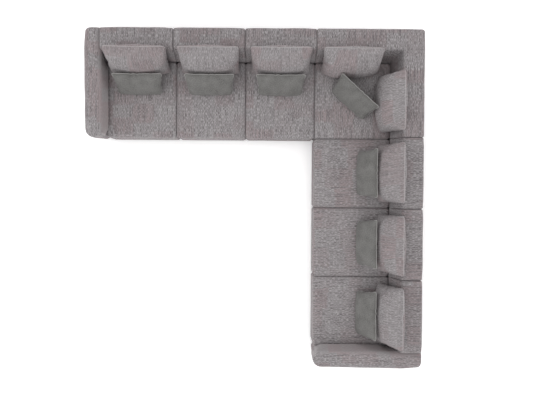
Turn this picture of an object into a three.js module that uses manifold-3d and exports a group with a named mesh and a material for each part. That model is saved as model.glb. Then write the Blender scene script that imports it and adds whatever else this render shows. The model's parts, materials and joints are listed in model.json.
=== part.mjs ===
// A modular corner sofa: seven upholstered modules in an L, an arm at each free end,
// eight loose back cushions and seven loose lumbar pillows.
// Lengths are millimetres and angles degrees. +Z is up, and the origin lies on the floor,
// under the centre of the square that the L fills.
import * as THREE from "three";
import { mergeVertices } from "three/addons/utils/BufferGeometryUtils.js";
import Module from "manifold-3d";

const wasm = await Module();
wasm.setup();

// The plan
const moduleWidth = 700;
const endModuleWidth = 715;
const moduleDepth = 1050;
const plainModules = 2;
const armWidth = 150;

// The stack, from the floor up
const plinthHeight = 50;
const baseHeight = 210;
const deckThickness = 3;
const seatCushionThickness = 166;
const backrestHeight = 460;

// Pieces that touch keep this gap, and every cut runs past its faces by the overrun
const touchGap = 0.3;
const cutOverrun = 5;

// Plinth and base frame: rails round the outside, with cross rails where a gap would be wide
const plinthRecess = 60;
const plinthRail = 50;
const baseRail = 40;
const widestRailGap = 320;
const baseCornerRadius = 25;

// Webbing deck: crossed belts
const deckInset = 12;
const beltWidth = 60;
const widestBeltGap = 175;

// Seat cushion
const seatEdgeRadius = 34;
const seatCrown = 16;

// Backrest: vertical behind the seat cushion, sloped above it
const backrestFoot = 280;
const backrestTop = 205;
const backrestEdgeRadius = 32;
const backrestEndRadius = 18;

// Arm: a slab that falls to the front, with padding that swells over the seat
const armRearHeight = 650;
const armFrontHeight = 580;
const armFrontReach = 12;
const armSwell = 40;
const armSwellHeight = 45;
const armTopRadius = 48;
const armSwellRadius = 24;
const armFrontRadius = 80;

// Back cushion: it leans back more than the backrest does, and its front is the fuller side
const backCushionHeight = 480;
const backCushionLean = 20;
const backCushionFrontCrown = 124;
const backCushionRearCrown = 62;
const backCushionSideRoom = 55;
const cornerCushionRoom = 130;

// Lumbar pillow
const pillowHeight = 300;
const pillowLean = 32;
const pillowFrontCrown = 58;
const pillowRearCrown = 50;
const pillowSideRoom = 55;
const cornerPillowTurn = -42;
const quarterTurn = -90;

// Seams and edges that the cushions and pillows share
const seamEdge = 12;
const cushionDrawIn = 14;
const pillowDrawIn = 10;
const crownPower = 2.2;
const crownRoundness = 0.55;

// Steel plates under the base frames
const plateThickness = 4;
const plateClearance = 10;
const connectorWidth = 60;
const armBracketLength = 400;
const plateHoleRadius = 4;
const plateHoleInset = 16;

// Number of faces along each form
const cushionColumns = 10;
const cushionRows = 8;
const pillowColumns = 10;
const pillowRows = 7;
const seatColumns = 6;
const seatRows = 8;
const seatLayers = 3;
const arcSteps = 3;
const plateHoleFaces = 8;
const searchSteps = 18;

// Heights and places worked out from the sizes above
const baseBottom = plinthHeight + touchGap;
const baseTop = baseBottom + baseHeight;
const deckBottom = baseTop + touchGap;
const seatBottom = deckBottom + deckThickness + touchGap;
const seatTop = seatBottom + seatCushionThickness;
const backrestBottom = baseTop + touchGap;
const seatSpace = moduleDepth - backrestFoot;
const rowLength = armWidth + endModuleWidth + plainModules * moduleWidth;
const halfPlan = (rowLength + moduleDepth) / 2;
const frontLine = halfPlan - moduleDepth;

const X_AXIS = new THREE.Vector3(1, 0, 0);
const Y_AXIS = new THREE.Vector3(0, 1, 0);
const Z_AXIS = new THREE.Vector3(0, 0, 1);

const materials = {
  upholstery: material(0x8f8a8b, 0.92),
  pillow: material(0x757472, 0.88),
  webbing: material(0x3a3a3c, 0.85),
  plinth: material(0x2b2725, 0.7),
  steel: material(0xa3a6aa, 0.4, 0.9),
};

function material(color, roughness, metalness = 0) {
  return { color, roughness, metalness };
}

// A named mesh with a material of its own
function piece(name, geometry, look) {
  const mesh = new THREE.Mesh(geometry, new THREE.MeshStandardMaterial(look));
  mesh.name = name;
  return mesh;
}

// A geometry's vertices merged, so that it is one closed surface
function closed(geometry) {
  const bare = geometry.clone();
  bare.deleteAttribute("normal");
  bare.deleteAttribute("uv");
  bare.clearGroups();
  const merged = mergeVertices(bare);
  merged.computeVertexNormals();
  return merged;
}

function solidFrom(geometry) {
  const merged = closed(geometry);
  return new wasm.Manifold(new wasm.Mesh({
    numProp: 3,
    vertProperties: new Float32Array(merged.attributes.position.array),
    triVerts: new Uint32Array(merged.index.array),
  }));
}

function geometryFrom(solid) {
  const mesh = solid.getMesh();
  const geometry = new THREE.BufferGeometry();
  geometry.setAttribute("position", new THREE.BufferAttribute(mesh.vertProperties, 3));
  geometry.setIndex(new THREE.BufferAttribute(mesh.triVerts, 1));
  geometry.computeVertexNormals();
  return geometry;
}

function overlaps(solid, others) {
  return others.some((other) => solid.intersect(other).getMesh().triVerts.length > 0);
}

// An outline whose corners are [x, y, radius], each rounded between its two sides
function roundedOutline(corners) {
  const shape = new THREE.Shape();
  corners.forEach(([x, y, radius], index) => {
    const corner = new THREE.Vector2(x, y);
    const before = corners.at(index - 1);
    const after = corners[(index + 1) % corners.length];
    const start = towards(corner, before, radius);
    const end = towards(corner, after, radius);
    if (index === 0) {
      shape.moveTo(start.x, start.y);
    } else {
      shape.lineTo(start.x, start.y);
    }
    if (radius > 0) {
      shape.quadraticCurveTo(corner.x, corner.y, end.x, end.y);
    }
  });
  shape.closePath();
  return shape;
}

function towards(corner, [x, y], distance) {
  const side = new THREE.Vector2(x, y).sub(corner);
  return side.setLength(Math.min(distance, side.length() / 2)).add(corner);
}

function rectangle(left, front, right, rear, radius = 0) {
  return roundedOutline([
    [left, front, radius],
    [right, front, radius],
    [right, rear, radius],
    [left, rear, radius],
  ]);
}

// An outline raised into a slab that stands on the given height
function slab(shape, bottom, height) {
  const options = { depth: height, bevelEnabled: false, curveSegments: arcSteps };
  return new THREE.ExtrudeGeometry(shape, options).translate(0, 0, bottom);
}

// The openings between rails or belts: equal cells between low and high, none wider than widest
function cells(low, high, rail, widest) {
  const count = Math.max(1, Math.ceil((high - low + rail) / (widest + rail)));
  const size = (high - low - (count - 1) * rail) / count;
  return Array.from({ length: count }, (_, index) => {
    const start = low + index * (size + rail);
    return [start, start + size];
  });
}

// A slab with an opening through it wherever a column of cells crosses a row
function lattice(outline, columns, rows, bottom, height) {
  let solid = solidFrom(slab(outline, bottom, height));
  for (const [left, right] of columns) {
    for (const [front, rear] of rows) {
      const opening = rectangle(left, front, right, rear);
      const cut = slab(opening, bottom - cutOverrun, height + 2 * cutOverrun);
      solid = solid.subtract(solidFrom(cut));
    }
  }
  return geometryFrom(solid);
}

// Each module is built with its front edge on y = 0 and its middle on x = 0
function sides(width, inset = 0) {
  const half = width / 2 - touchGap / 2 - inset;
  return [-half, half];
}

function plinthGeometry(width) {
  const [left, right] = sides(width, plinthRecess);
  const front = plinthRecess;
  const rear = moduleDepth - plinthRecess;
  const outline = rectangle(left, front, right, rear);
  const columns = cells(left + plinthRail, right - plinthRail, plinthRail, widestRailGap);
  const rows = [[front + plinthRail, rear - plinthRail]];
  return lattice(outline, columns, rows, 0, plinthHeight);
}

function baseFrameGeometry(width) {
  const [left, right] = sides(width);
  const outline = rectangle(left, touchGap / 2, right, moduleDepth, baseCornerRadius);
  const columns = cells(left + baseRail, right - baseRail, baseRail, widestRailGap);
  const rows = [
    [baseRail, seatSpace - baseRail / 2],
    [seatSpace + baseRail / 2, moduleDepth - baseRail],
  ];
  return lattice(outline, columns, rows, baseBottom, baseHeight);
}

function deckGeometry(width) {
  const [left, right] = sides(width, deckInset);
  const rear = seatSpace - deckInset;
  const outline = rectangle(left, deckInset, right, rear);
  const columns = cells(left + beltWidth, right - beltWidth, beltWidth, widestBeltGap);
  const rows = cells(deckInset + beltWidth, rear - beltWidth, beltWidth, widestBeltGap);
  return lattice(outline, columns, rows, deckBottom, deckThickness);
}

// A grid line of a box, moved so that the outer strip is as wide as the rounding
function gridPlace(share, half, steps, radius) {
  const innerShare = (steps - 2) / steps;
  const size = Math.abs(share);
  const isOuter = Math.round(size * steps) === steps;
  return Math.sign(share) * (isOuter ? half : (half - radius) * (size / innerShare));
}

// A boxed cushion with rounded edges and a crowned top, its underside at z = 0
function seatCushionGeometry(width, depth) {
  const sideHeight = seatCushionThickness - seatCrown;
  const half = new THREE.Vector3(width / 2, depth / 2, sideHeight / 2);
  const steps = [seatColumns, seatRows, seatLayers];
  const box = new THREE.BoxGeometry(2, 2, 2, ...steps);
  const inner = half.clone().subScalar(seatEdgeRadius);
  const place = box.attributes.position;
  for (let index = 0; index < place.count; index++) {
    const share = new THREE.Vector3().fromBufferAttribute(place, index);
    const grid = new THREE.Vector3(
      gridPlace(share.x, half.x, seatColumns, seatEdgeRadius),
      gridPlace(share.y, half.y, seatRows, seatEdgeRadius),
      gridPlace(share.z, half.z, seatLayers, seatEdgeRadius),
    );
    const core = grid.clone().clamp(inner.clone().negate(), inner);
    const point = grid.sub(core).setLength(seatEdgeRadius).add(core);
    const rise = point.z > 0 ? (1 - (point.x / half.x) ** 2) * (1 - (point.y / half.y) ** 2) : 0;
    place.setXYZ(index, point.x, point.y, point.z + half.z + seatCrown * rise);
  }
  return closed(box);
}

// A cushion or pillow standing upright at the origin: width along X, front towards -Y.
// Both sides swell to their crowns, and the edges are drawn in between the corners.
function paddedGeometry({ width, height, frontCrown, rearCrown, drawIn, columns, rows }) {
  const box = new THREE.BoxGeometry(2, 2, 2, columns, 1, rows);
  const place = box.attributes.position;
  for (let index = 0; index < place.count; index++) {
    const across = Math.sin((place.getX(index) * Math.PI) / 2);
    const up = Math.sin((place.getZ(index) * Math.PI) / 2);
    const fullness = (roundness(across) * roundness(up)) ** crownRoundness;
    const isFront = place.getY(index) < 0;
    const swell = seamEdge / 2 + fullness * (isFront ? frontCrown : rearCrown);
    const topDrawIn = up > 0 ? drawIn * (1 - across ** 2) : 0;
    place.setXYZ(
      index,
      across * (width / 2 - drawIn * (1 - up ** 2)),
      isFront ? -swell : swell,
      up * (height / 2 - topDrawIn),
    );
  }
  return closed(box);
}

function roundness(share) {
  return 1 - Math.abs(share) ** crownPower;
}

function backCushionForm(width) {
  return {
    width,
    height: backCushionHeight,
    frontCrown: backCushionFrontCrown,
    rearCrown: backCushionRearCrown,
    drawIn: cushionDrawIn,
    columns: cushionColumns,
    rows: cushionRows,
  };
}

function pillowForm(width) {
  return {
    width,
    height: pillowHeight,
    frontCrown: pillowFrontCrown,
    rearCrown: pillowRearCrown,
    drawIn: pillowDrawIn,
    columns: pillowColumns,
    rows: pillowRows,
  };
}

// The box that a padded form sweeps above its middle when it slides up along its own height
function sweptBox(form) {
  const front = -seamEdge / 2 - form.frontCrown;
  const rear = seamEdge / 2 + form.rearCrown;
  const outline = rectangle(-form.width / 2, front, form.width / 2, rear);
  return slab(outline, 0, form.height);
}

// Leant back, then turned about the upright
function leaning(lean, turn, position) {
  const tilt = new THREE.Quaternion().setFromAxisAngle(X_AXIS, THREE.MathUtils.degToRad(-lean));
  const yaw = new THREE.Quaternion().setFromAxisAngle(Z_AXIS, THREE.MathUtils.degToRad(turn));
  return new THREE.Matrix4().compose(position, yaw.multiply(tilt), new THREE.Vector3(1, 1, 1));
}

// How far shapes can move along a direction before one comes within the gap of an obstacle
function roomToMove(shapes, matrix, direction, obstacles, reach) {
  let free = 0;
  let blocked = reach;
  for (let step = 0; step < searchSteps; step++) {
    const middle = (free + blocked) / 2;
    const shift = direction.clone().multiplyScalar(middle);
    const hits = shapes.some((shape) => {
      const moved = shape.clone().applyMatrix4(matrix).translate(shift.x, shift.y, shift.z);
      return overlaps(solidFrom(moved), obstacles);
    });
    if (hits) {
      blocked = middle;
    } else {
      free = middle;
    }
  }
  return free - touchGap;
}

// Moves the place of the shapes along a direction until they meet an obstacle
function moveToTouch(place, { shapes, lean, turn }, direction, obstacles, reach) {
  const room = roomToMove(shapes, leaning(lean, turn, place), direction, obstacles, reach);
  place.addScaledVector(direction, room);
}

function backwardsOf(turn) {
  return Y_AXIS.clone().applyAxisAngle(Z_AXIS, THREE.MathUtils.degToRad(turn));
}

function placed(shapes, lean, turn, place) {
  const matrix = leaning(lean, turn, place);
  return shapes.map((shape) => shape.clone().applyMatrix4(matrix));
}

// A back cushion goes back to the backrest, then down along its own height to the seat.
// It comes with the box above its middle, which stays free for lifting it out.
function settledBackCushion(width, turn, start, backrest, seat) {
  const form = backCushionForm(width);
  const cushion = paddedGeometry(form);
  const both = [cushion, sweptBox(form)];
  const lean = backCushionLean;
  const place = start.clone();
  moveToTouch(place, { shapes: both, lean, turn }, backwardsOf(turn), [backrest], seatSpace / 2);
  const down = Z_AXIS.clone().negate().transformDirection(leaning(lean, turn, place));
  place.addScaledVector(down, -seatCrown);
  moveToTouch(place, { shapes: [cushion], lean, turn }, down, [seat], form.height / 2);
  return placed(both, lean, turn, place);
}

// A pillow goes down to the seat and back to the cushions behind it, twice over
function settledPillow(width, turn, start, behind, seat) {
  const form = pillowForm(width);
  const shapes = [paddedGeometry(form)];
  const lean = pillowLean;
  const place = start.clone();
  const down = Z_AXIS.clone().negate();
  for (let pass = 0; pass < 2; pass++) {
    place.addScaledVector(down, -seatCrown);
    moveToTouch(place, { shapes, lean, turn }, down, [seat], form.height / 2);
    moveToTouch(place, { shapes, lean, turn }, backwardsOf(turn), behind, seatSpace / 2);
  }
  return placed(shapes, lean, turn, place)[0];
}

// The backrest's section, drawn from the rear face towards the seat
function backrestOutline() {
  const slopeStart = seatTop - backrestBottom;
  return roundedOutline([
    [0, 0, 0],
    [0, backrestHeight, backrestEdgeRadius],
    [-backrestTop, backrestHeight, backrestEdgeRadius],
    [-backrestFoot + touchGap, slopeStart, 0],
    [-backrestFoot + touchGap, 0, 0],
  ]);
}

// A straight backrest along X, its rear face on y = 0 and its middle on x = 0
function straightBackrestGeometry(width) {
  const length = width - touchGap;
  const geometry = new THREE.ExtrudeGeometry(backrestOutline(), {
    depth: length - 2 * backrestEndRadius,
    bevelThickness: backrestEndRadius,
    bevelSize: backrestEndRadius,
    bevelOffset: -backrestEndRadius,
    bevelSegments: 2,
    curveSegments: arcSteps,
  });
  geometry.translate(0, 0, backrestEndRadius - length / 2);
  geometry.applyMatrix4(new THREE.Matrix4().makeBasis(Y_AXIS, Z_AXIS, X_AXIS));
  return geometry.translate(0, 0, backrestBottom);
}

// The corner backrest: two straight ones joined along the rear and the outer side
function cornerBackrestGeometry() {
  const along = straightBackrestGeometry(moduleDepth);
  const across = along.clone().rotateZ(THREE.MathUtils.degToRad(quarterTurn));
  across.translate(moduleDepth / 2, moduleDepth / 2, 0);
  along.translate(0, moduleDepth, 0);
  return geometryFrom(solidFrom(along).add(solidFrom(across)));
}

// The arm's section from its outer face inwards: a slab whose padding swells over the seat
function armOutline(side) {
  const swellFoot = seatTop + touchGap - baseBottom;
  const corners = [
    [0, 0, 0],
    [armWidth, 0, 0],
    [armWidth, swellFoot, 0],
    [armWidth + armSwell, swellFoot + armSwellHeight / 2, armSwellRadius],
    [armWidth + armSwell / 2, swellFoot + 2 * armSwellHeight, armSwellRadius],
    [armWidth, armRearHeight, armTopRadius],
    [0, armRearHeight, armTopRadius],
  ];
  return roundedOutline(corners.map(([x, y, radius]) => [-side * x, y, radius]));
}

// The height of a point of the arm, which falls to the front above the seat
function fallenHeight(y, height) {
  const foot = seatTop + touchGap - baseBottom;
  const forward = 1 - y / moduleDepth;
  const fall = ((armRearHeight - armFrontHeight) * forward) / (armRearHeight - foot);
  return height > foot ? height - (height - foot) * fall : height;
}

// An arm with its outer face on x = 0 and the seat on the other side of it
function armGeometry(side) {
  const length = moduleDepth + armFrontReach;
  const section = new THREE.ExtrudeGeometry(armOutline(side), {
    depth: length,
    bevelEnabled: false,
    curveSegments: arcSteps,
  });
  section.applyMatrix4(new THREE.Matrix4().makeBasis(X_AXIS, Z_AXIS, Y_AXIS.clone().negate()));
  section.translate(0, moduleDepth, 0);
  const inner = armWidth + armSwell + cutOverrun;
  const plan = roundedOutline([
    [0, -armFrontReach, armFrontRadius],
    [-side * inner, -armFrontReach, armSwellRadius + cutOverrun],
    [-side * inner, moduleDepth, 0],
    [0, moduleDepth, baseCornerRadius],
  ]);
  const body = slab(plan, -cutOverrun, armRearHeight + 2 * cutOverrun);
  const besideBackrest = rectangle(
    -side * (armWidth - touchGap / 2),
    seatSpace - touchGap,
    -side * (inner + cutOverrun),
    moduleDepth + cutOverrun,
  );
  const cut = slab(besideBackrest, -cutOverrun, armRearHeight + 2 * cutOverrun);
  const solid = solidFrom(section).intersect(solidFrom(body)).subtract(solidFrom(cut));
  const geometry = geometryFrom(solid);
  const place = geometry.attributes.position;
  for (let index = 0; index < place.count; index++) {
    place.setZ(index, fallenHeight(place.getY(index), place.getZ(index)));
  }
  geometry.computeVertexNormals();
  return geometry.translate(0, 0, baseBottom);
}

// A steel plate with a screw hole near each corner, its top face under the base frames
function plateGeometry(length, width) {
  const bottom = plinthHeight - plateThickness;
  const outline = rectangle(-length / 2, -width / 2, length / 2, width / 2);
  let solid = solidFrom(slab(outline, bottom, plateThickness));
  for (const x of [-1, 1]) {
    for (const y of [-1, 1]) {
      const hole = new THREE.CylinderGeometry(
        plateHoleRadius,
        plateHoleRadius,
        plateThickness + 2 * cutOverrun,
        plateHoleFaces,
      );
      hole.rotateX(Math.PI / 2);
      hole.translate(
        x * (length / 2 - plateHoleInset),
        y * (width / 2 - plateHoleInset),
        bottom + plateThickness / 2,
      );
      solid = solid.subtract(solidFrom(hole));
    }
  }
  return geometryFrom(solid);
}

// The pieces that every module has. Its seat starts at the left end and is as wide as given.
function modulePieces(name, width, seatWidth) {
  const shift = (seatWidth - width) / 2;
  const deck = deckGeometry(seatWidth).translate(shift, 0, 0);
  const seat = seatCushionGeometry(seatWidth - touchGap, seatSpace - 2 * touchGap);
  seat.translate(shift, seatSpace / 2, seatBottom);
  return {
    seat,
    meshes: [
      piece(`${name}_plinth`, plinthGeometry(width), materials.plinth),
      piece(`${name}_base_frame`, baseFrameGeometry(width), materials.upholstery),
      piece(`${name}_webbing_deck`, deck, materials.webbing),
      piece(`${name}_seat_cushion`, seat, materials.upholstery),
    ],
  };
}

// A seat of a row: its backrest, and a back cushion and a pillow that lean on each other
function straightModule(name, width) {
  const group = new THREE.Group();
  const { seat, meshes } = modulePieces(name, width, width);
  const backrest = closed(straightBackrestGeometry(width).translate(0, moduleDepth, 0));
  const seatSolid = solidFrom(seat);
  const cushionWidth = width - 2 * backCushionSideRoom;
  const height = seatTop + backCushionHeight / 2;
  const start = new THREE.Vector3(0, seatSpace - backCushionFrontCrown, height);
  const backrestSolid = solidFrom(backrest);
  const cushion = settledBackCushion(cushionWidth, 0, start, backrestSolid, seatSolid);
  const pillowStart = new THREE.Vector3(0, seatSpace / 2, seatTop + pillowHeight / 2);
  const pillowWidth = cushionWidth - 2 * pillowSideRoom;
  const behind = cushion.map(solidFrom);
  const pillow = settledPillow(pillowWidth, 0, pillowStart, behind, seatSolid);
  group.add(
    ...meshes,
    piece(`${name}_backrest`, backrest, materials.upholstery),
    piece(`${name}_back_cushion`, cushion[0], materials.upholstery),
    piece(`${name}_lumbar_pillow`, pillow, materials.pillow),
  );
  return group;
}

// The corner seat: an L-shaped backrest, two back cushions and a pillow laid across the corner
function cornerModule(name) {
  const group = new THREE.Group();
  const { seat, meshes } = modulePieces(name, moduleDepth, seatSpace);
  const backrest = cornerBackrestGeometry();
  const backrestSolid = solidFrom(backrest);
  const seatSolid = solidFrom(seat);
  const width = seatSpace - backCushionSideRoom - cornerCushionRoom;
  const middle = backCushionSideRoom + width / 2;
  const height = seatTop + backCushionHeight / 2;
  const left = -moduleDepth / 2;
  const forward = seatSpace - backCushionFrontCrown;
  const rearStart = new THREE.Vector3(left + middle, forward, height);
  const sideStart = new THREE.Vector3(left + forward, middle, height);
  const rear = settledBackCushion(width, 0, rearStart, backrestSolid, seatSolid);
  const side = settledBackCushion(width, quarterTurn, sideStart, backrestSolid, seatSolid);
  const pillowWidth = width - 2 * pillowSideRoom;
  const nook = middle - pillowHeight / 2;
  const pillowStart = new THREE.Vector3(left + nook, nook, seatTop + pillowHeight / 2);
  const behind = [...rear, ...side].map(solidFrom);
  const pillow = settledPillow(pillowWidth, cornerPillowTurn, pillowStart, behind, seatSolid);
  group.add(
    ...meshes,
    piece(`${name}_backrest`, backrest, materials.upholstery),
    piece(`${name}_rear_back_cushion`, rear[0], materials.upholstery),
    piece(`${name}_side_back_cushion`, side[0], materials.upholstery),
    piece(`${name}_lumbar_pillow`, pillow, materials.pillow),
  );
  return group;
}

// An arm and its bracket, at the end of a module: side -1 is its left end, 1 its right end
function armGroup(name, side) {
  const group = new THREE.Group();
  const arm = piece(`${name}_arm`, armGeometry(side), materials.upholstery);
  arm.position.x = side * (endModuleWidth / 2 + armWidth);
  const bracketWidth = 2 * (plinthRecess - plateClearance);
  const plate = plateGeometry(bracketWidth, armBracketLength);
  const bracket = piece(`${name}_arm_bracket`, plate, materials.steel);
  bracket.position.set((side * endModuleWidth) / 2, moduleDepth / 2, 0);
  group.add(arm, bracket);
  return group;
}

// One row: its modules run from the corner to the free end, which has the arm.
// Their fronts lie on y = 0, and armSide says which way the row runs along X.
function row(name, armSide) {
  const group = new THREE.Group();
  const bridge = 2 * (plinthRecess - plateClearance);
  let place = 0;
  for (let index = 0; index <= plainModules; index++) {
    const isEnd = index === plainModules;
    const width = isEnd ? endModuleWidth : moduleWidth;
    const plate = plateGeometry(bridge, connectorWidth);
    const connector = piece(`${name}_connector_${index + 1}`, plate, materials.steel);
    connector.position.set(armSide * place, moduleDepth / 2, 0);
    const module = straightModule(`${name}_${index + 1}`, width);
    module.position.x = armSide * (place + width / 2);
    group.add(connector, module);
    if (isEnd) {
      const arm = armGroup(name, armSide);
      arm.position.copy(module.position);
      group.add(arm);
    }
    place += width;
  }
  return group;
}

const sofa = new THREE.Group();
const corner = cornerModule("corner");
corner.position.set(frontLine + moduleDepth / 2, frontLine, 0);
const backRow = row("back_row", -1);
backRow.position.set(frontLine, frontLine, 0);
const sideRow = row("side_row", 1);
sideRow.rotation.z = THREE.MathUtils.degToRad(quarterTurn);
sideRow.position.set(frontLine, frontLine, 0);
sofa.add(backRow, corner, sideRow);

export default sofa;
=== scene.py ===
import json
import math

import bpy
import bmesh
from bpy.props import FloatProperty, FloatVectorProperty, IntProperty, PointerProperty
from mathutils.bvhtree import BVHTree
from mathutils import Matrix, Vector, noise

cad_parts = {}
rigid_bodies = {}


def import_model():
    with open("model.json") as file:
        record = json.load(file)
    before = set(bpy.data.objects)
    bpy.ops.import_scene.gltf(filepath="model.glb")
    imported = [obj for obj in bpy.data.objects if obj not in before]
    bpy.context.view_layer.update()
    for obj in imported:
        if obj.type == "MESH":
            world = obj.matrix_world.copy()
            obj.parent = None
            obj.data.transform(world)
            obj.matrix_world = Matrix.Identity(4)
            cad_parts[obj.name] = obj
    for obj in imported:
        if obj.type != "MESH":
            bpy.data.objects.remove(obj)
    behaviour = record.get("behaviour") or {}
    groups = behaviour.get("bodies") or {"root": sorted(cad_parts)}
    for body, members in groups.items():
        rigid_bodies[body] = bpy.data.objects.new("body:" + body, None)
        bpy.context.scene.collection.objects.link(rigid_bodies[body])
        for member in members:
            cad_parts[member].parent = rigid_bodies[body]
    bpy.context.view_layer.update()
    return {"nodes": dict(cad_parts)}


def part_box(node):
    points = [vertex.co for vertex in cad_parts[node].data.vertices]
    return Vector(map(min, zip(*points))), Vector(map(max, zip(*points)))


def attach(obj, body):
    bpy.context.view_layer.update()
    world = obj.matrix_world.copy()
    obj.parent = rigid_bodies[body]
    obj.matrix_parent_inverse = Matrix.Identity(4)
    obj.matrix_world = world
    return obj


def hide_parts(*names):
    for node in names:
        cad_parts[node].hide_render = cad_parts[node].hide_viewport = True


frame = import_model()

bl_info = {
    "name": "Modular corner sofa",
    "version": (1, 0, 0),
    "blender": (4, 5, 0),
    "location": "3D View > Sidebar > Sofa",
    "description": "Cloth, padding and light for the frame of a seven-seat corner sofa",
    "category": "Object",
}

# The photograph's frame, and the camera that was fitted to it
PHOTO_WIDTH = 533
FOCAL_PIXELS = 679.91
SENSOR_WIDTH = 36.0
CAMERA_PLACE = (0.10784, 0.10175, 7.33)
CAMERA_TILT_X = 0.01741
CAMERA_TILT_Y = 0.00254
CAMERA_ROLL = -0.00704
CAMERA_REACH = 100

# Light: the world's strength all round, a broad high lamp, and a low one on each of four sides
AMBIENT = 0.52
KEY_STRENGTH = 0.8
KEY_SPREAD = 60
KEY_HEIGHT = 74
KEY_BEARING = -45
SIDE_LAMPS = 4
SIDE_STRENGTH = 0.62
SIDE_SPREAD = 40
SIDE_HEIGHT = 18
# How much lighter the camera, and nothing else, sees the floor, so that the backdrop is white
FLOOR_GAIN = 1.46

# The side row is the back row mirrored across the diagonal of the plan
ACROSS_DIAGONAL = Matrix(((0, 1, 0, 0), (1, 0, 0, 0), (0, 0, 1, 0), (0, 0, 0, 1)))
SEATS = [f"{row}_{place}" for row in ("back_row", "side_row") for place in (1, 2, 3)]
MODULES = SEATS + ["corner"]

# Two places nearer than TOUCH are the same; an edge nearer than NEAR lies on an outer face, and
# one nearer than LINE_NEAR lies on a line. What is shorter than TINY has no direction
TOUCH = 1e-5
NEAR = 0.001
LINE_NEAR = 1e-4
TINY = 1e-9
CUT_TOLERANCE = 1e-6
# An edge or a face points along an axis when this share of it does
POINTING = 0.9

# The weave's map in metres: the cloth of two pieces, and of a cushion's two panels, starts apart
WEAVE_MAP = "weave"
WEAVE_STEP = (0.613, 0.377)
REAR_PANEL_SHIFT = 0.9

# How long and how high the unevenness of each piece's padding is. The step sets pieces apart
NOISE_STEP = (3.7, 1.9, 2.3)
UNEVENNESS = {
    "base": (0.22, 0.0012),
    "seat": (0.16, 0.0025),
    "backrest": (0.15, 0.0025),
    "arm": (0.14, 0.0025),
    "back_cushion": (0.2, 0.006),
    "lumbar_pillow": (0.16, 0.004),
}
# Added to a module's number, so that the padding and the cloth of its pieces differ
BACKREST_PADDING = 5
BACKREST_CLOTH = 11
ARM_PADDING = 7
ARM_CLOTH = 23
# The unevenness fades out over this width beside an edge
BASE_EDGE_ZONE = 0.03
SEAT_EDGE_ZONE = 0.06
BACKREST_END_ZONE = 0.05
ARM_FOOT_ZONE = 0.1

# Cells of base frames, and of backrests and arms, in padding cells
BASE_CELLS = 2.5
BROAD_CELLS = 1.5
BASE_SEGMENTS = 4

# A seat's seams lie just past its rounded edges: this many edge radii in
SEAM_PLACE = 1.15
SEAT_CROWN_POWER = 0.8

# The padding of a backrest draws in at its ends: over this length, near its top and at its rear
DIP_REACH = 0.11
DIP_TOP = 0.1
DIP_REAR = 0.02
DIP_REAR_SHARE = 0.6
TOP_SEGMENTS = 6
INNER_EDGE_SEGMENTS = 5
# An edge of the corner's ends is sharp past this angle, in radians
SHARP = 0.5
# Where the corner backrest's cells start and end beside its roundings, seat and outer sides
CELL_MARGIN = 0.004
FOOT_MARGIN = 0.01
SEAT_MARGIN = 0.03
OUTER_MARGIN = 0.04
CORNER_CELL_HEIGHT = 0.02

# An arm's swell starts just over the seat and stands out further before its edge, which lies
# between two heights over the seat, is rounded. It grows from the front and ends at the backrest
SEAT_GAP = 0.0003
SWELL_EXTRA = 0.004
SWELL_EDGE = (0.005, 0.09)
SWELL_START = -0.03
SWELL_FADE = 0.11
# The outer side's swell: how far from the front, the rear and the foot it grows
OUTER_FRONT = 0.1
OUTER_REAR = 0.2
OUTER_RISE = 0.3
# Where an arm's front lies back: from its outer to its inner side, down to its foot, and how deep
SETBACK_ACROSS = (0.02, 0.15)
TUCK_HEIGHTS = (0.5, 0.05)
TUCK_REACH = 0.25
# Above this height the top edge turns in at the front and, by a share, at the rear
TURN_FOOT = 0.1
REAR_TURN_SHARE = 0.5
ARM_TOP_SEGMENTS = 8
SWELL_SEGMENTS = 6
FOOT_SEGMENTS = 3
FRONT_CUTS = 10
REAR_CUTS = (0.001, 0.004, 0.009, 0.016, 0.026)
ARM_REAR_MARGIN = 0.03
ARM_SIDE_MARGIN = 0.05
ARM_FOOT_MARGIN = 0.02
# The smooth inner side of an arm, painted lighter as painted light: how much its faces look inwards,
# and how low it starts
INNER_SIDE = 0.4
INNER_SIDE_BELOW = 0.01

# The flat panels of the loose pieces, the cell of their cloth, and the volume of their filling
CUSHION_PANELS = {"width": 0.62, "height": 0.51, "cell": 0.0095, "volume": 0.036}
PILLOW_PANELS = {"width": 0.5, "height": 0.32, "cell": 0.009, "volume": 0.0085}
# How far a filled side is drawn in, as a share; the corners' radii; rounds of smoothing
CUSHION_OUTLINE = {"draw_in": 0.035, "top_corner": 0.045, "foot_corner": 0.024, "rounds": 10}
PILLOW_OUTLINE = {"draw_in": 0.03, "top_corner": 0.02, "foot_corner": 0.05, "rounds": 6}
# A soft, damped cloth under pressure, and the frames in which it fills
FILLING_FRAMES = 36
CLOTH = {
    "quality": 6, "mass": 0.3, "air_damping": 6, "bending_stiffness": 0.6,
    "tension_stiffness": 25, "compression_stiffness": 12, "shear_stiffness": 10,
    "tension_damping": 25, "compression_damping": 25, "shear_damping": 25,
    "use_pressure": True, "uniform_pressure_force": 6, "use_pressure_volume": True,
}

# The corner's pillow lies across the corner, in degrees; a pillow narrows over this height
CORNER_PILLOW_TURN = -42
CORNER_PILLOW_SEED = 9
TAPER_REACH = 0.16
# Its piping comes out between these heights over its middle, and is thinner below them
PIPING_SIDES = 6
PIPING_HEIGHTS = (0.09, 0.13)
PIPING_LEAST = 0.55
# Places of the panels' edges are matched to this many digits of a metre
PLACE_DIGITS = 4

FLOOR_SIZE = 30.0


def is_mirrored(name):
    """Whether a piece belongs to the side row or its end of the corner."""
    return name.startswith("side_row") or name == "corner_side_back_cushion"


def local_box(name):
    """The CAD node's box, seen from its own row: X along the row, Y to the rear."""
    low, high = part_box(name)
    if is_mirrored(name):
        low, high = Vector((low.y, low.x, low.z)), Vector((high.y, high.x, high.z))
    return low, high


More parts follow.
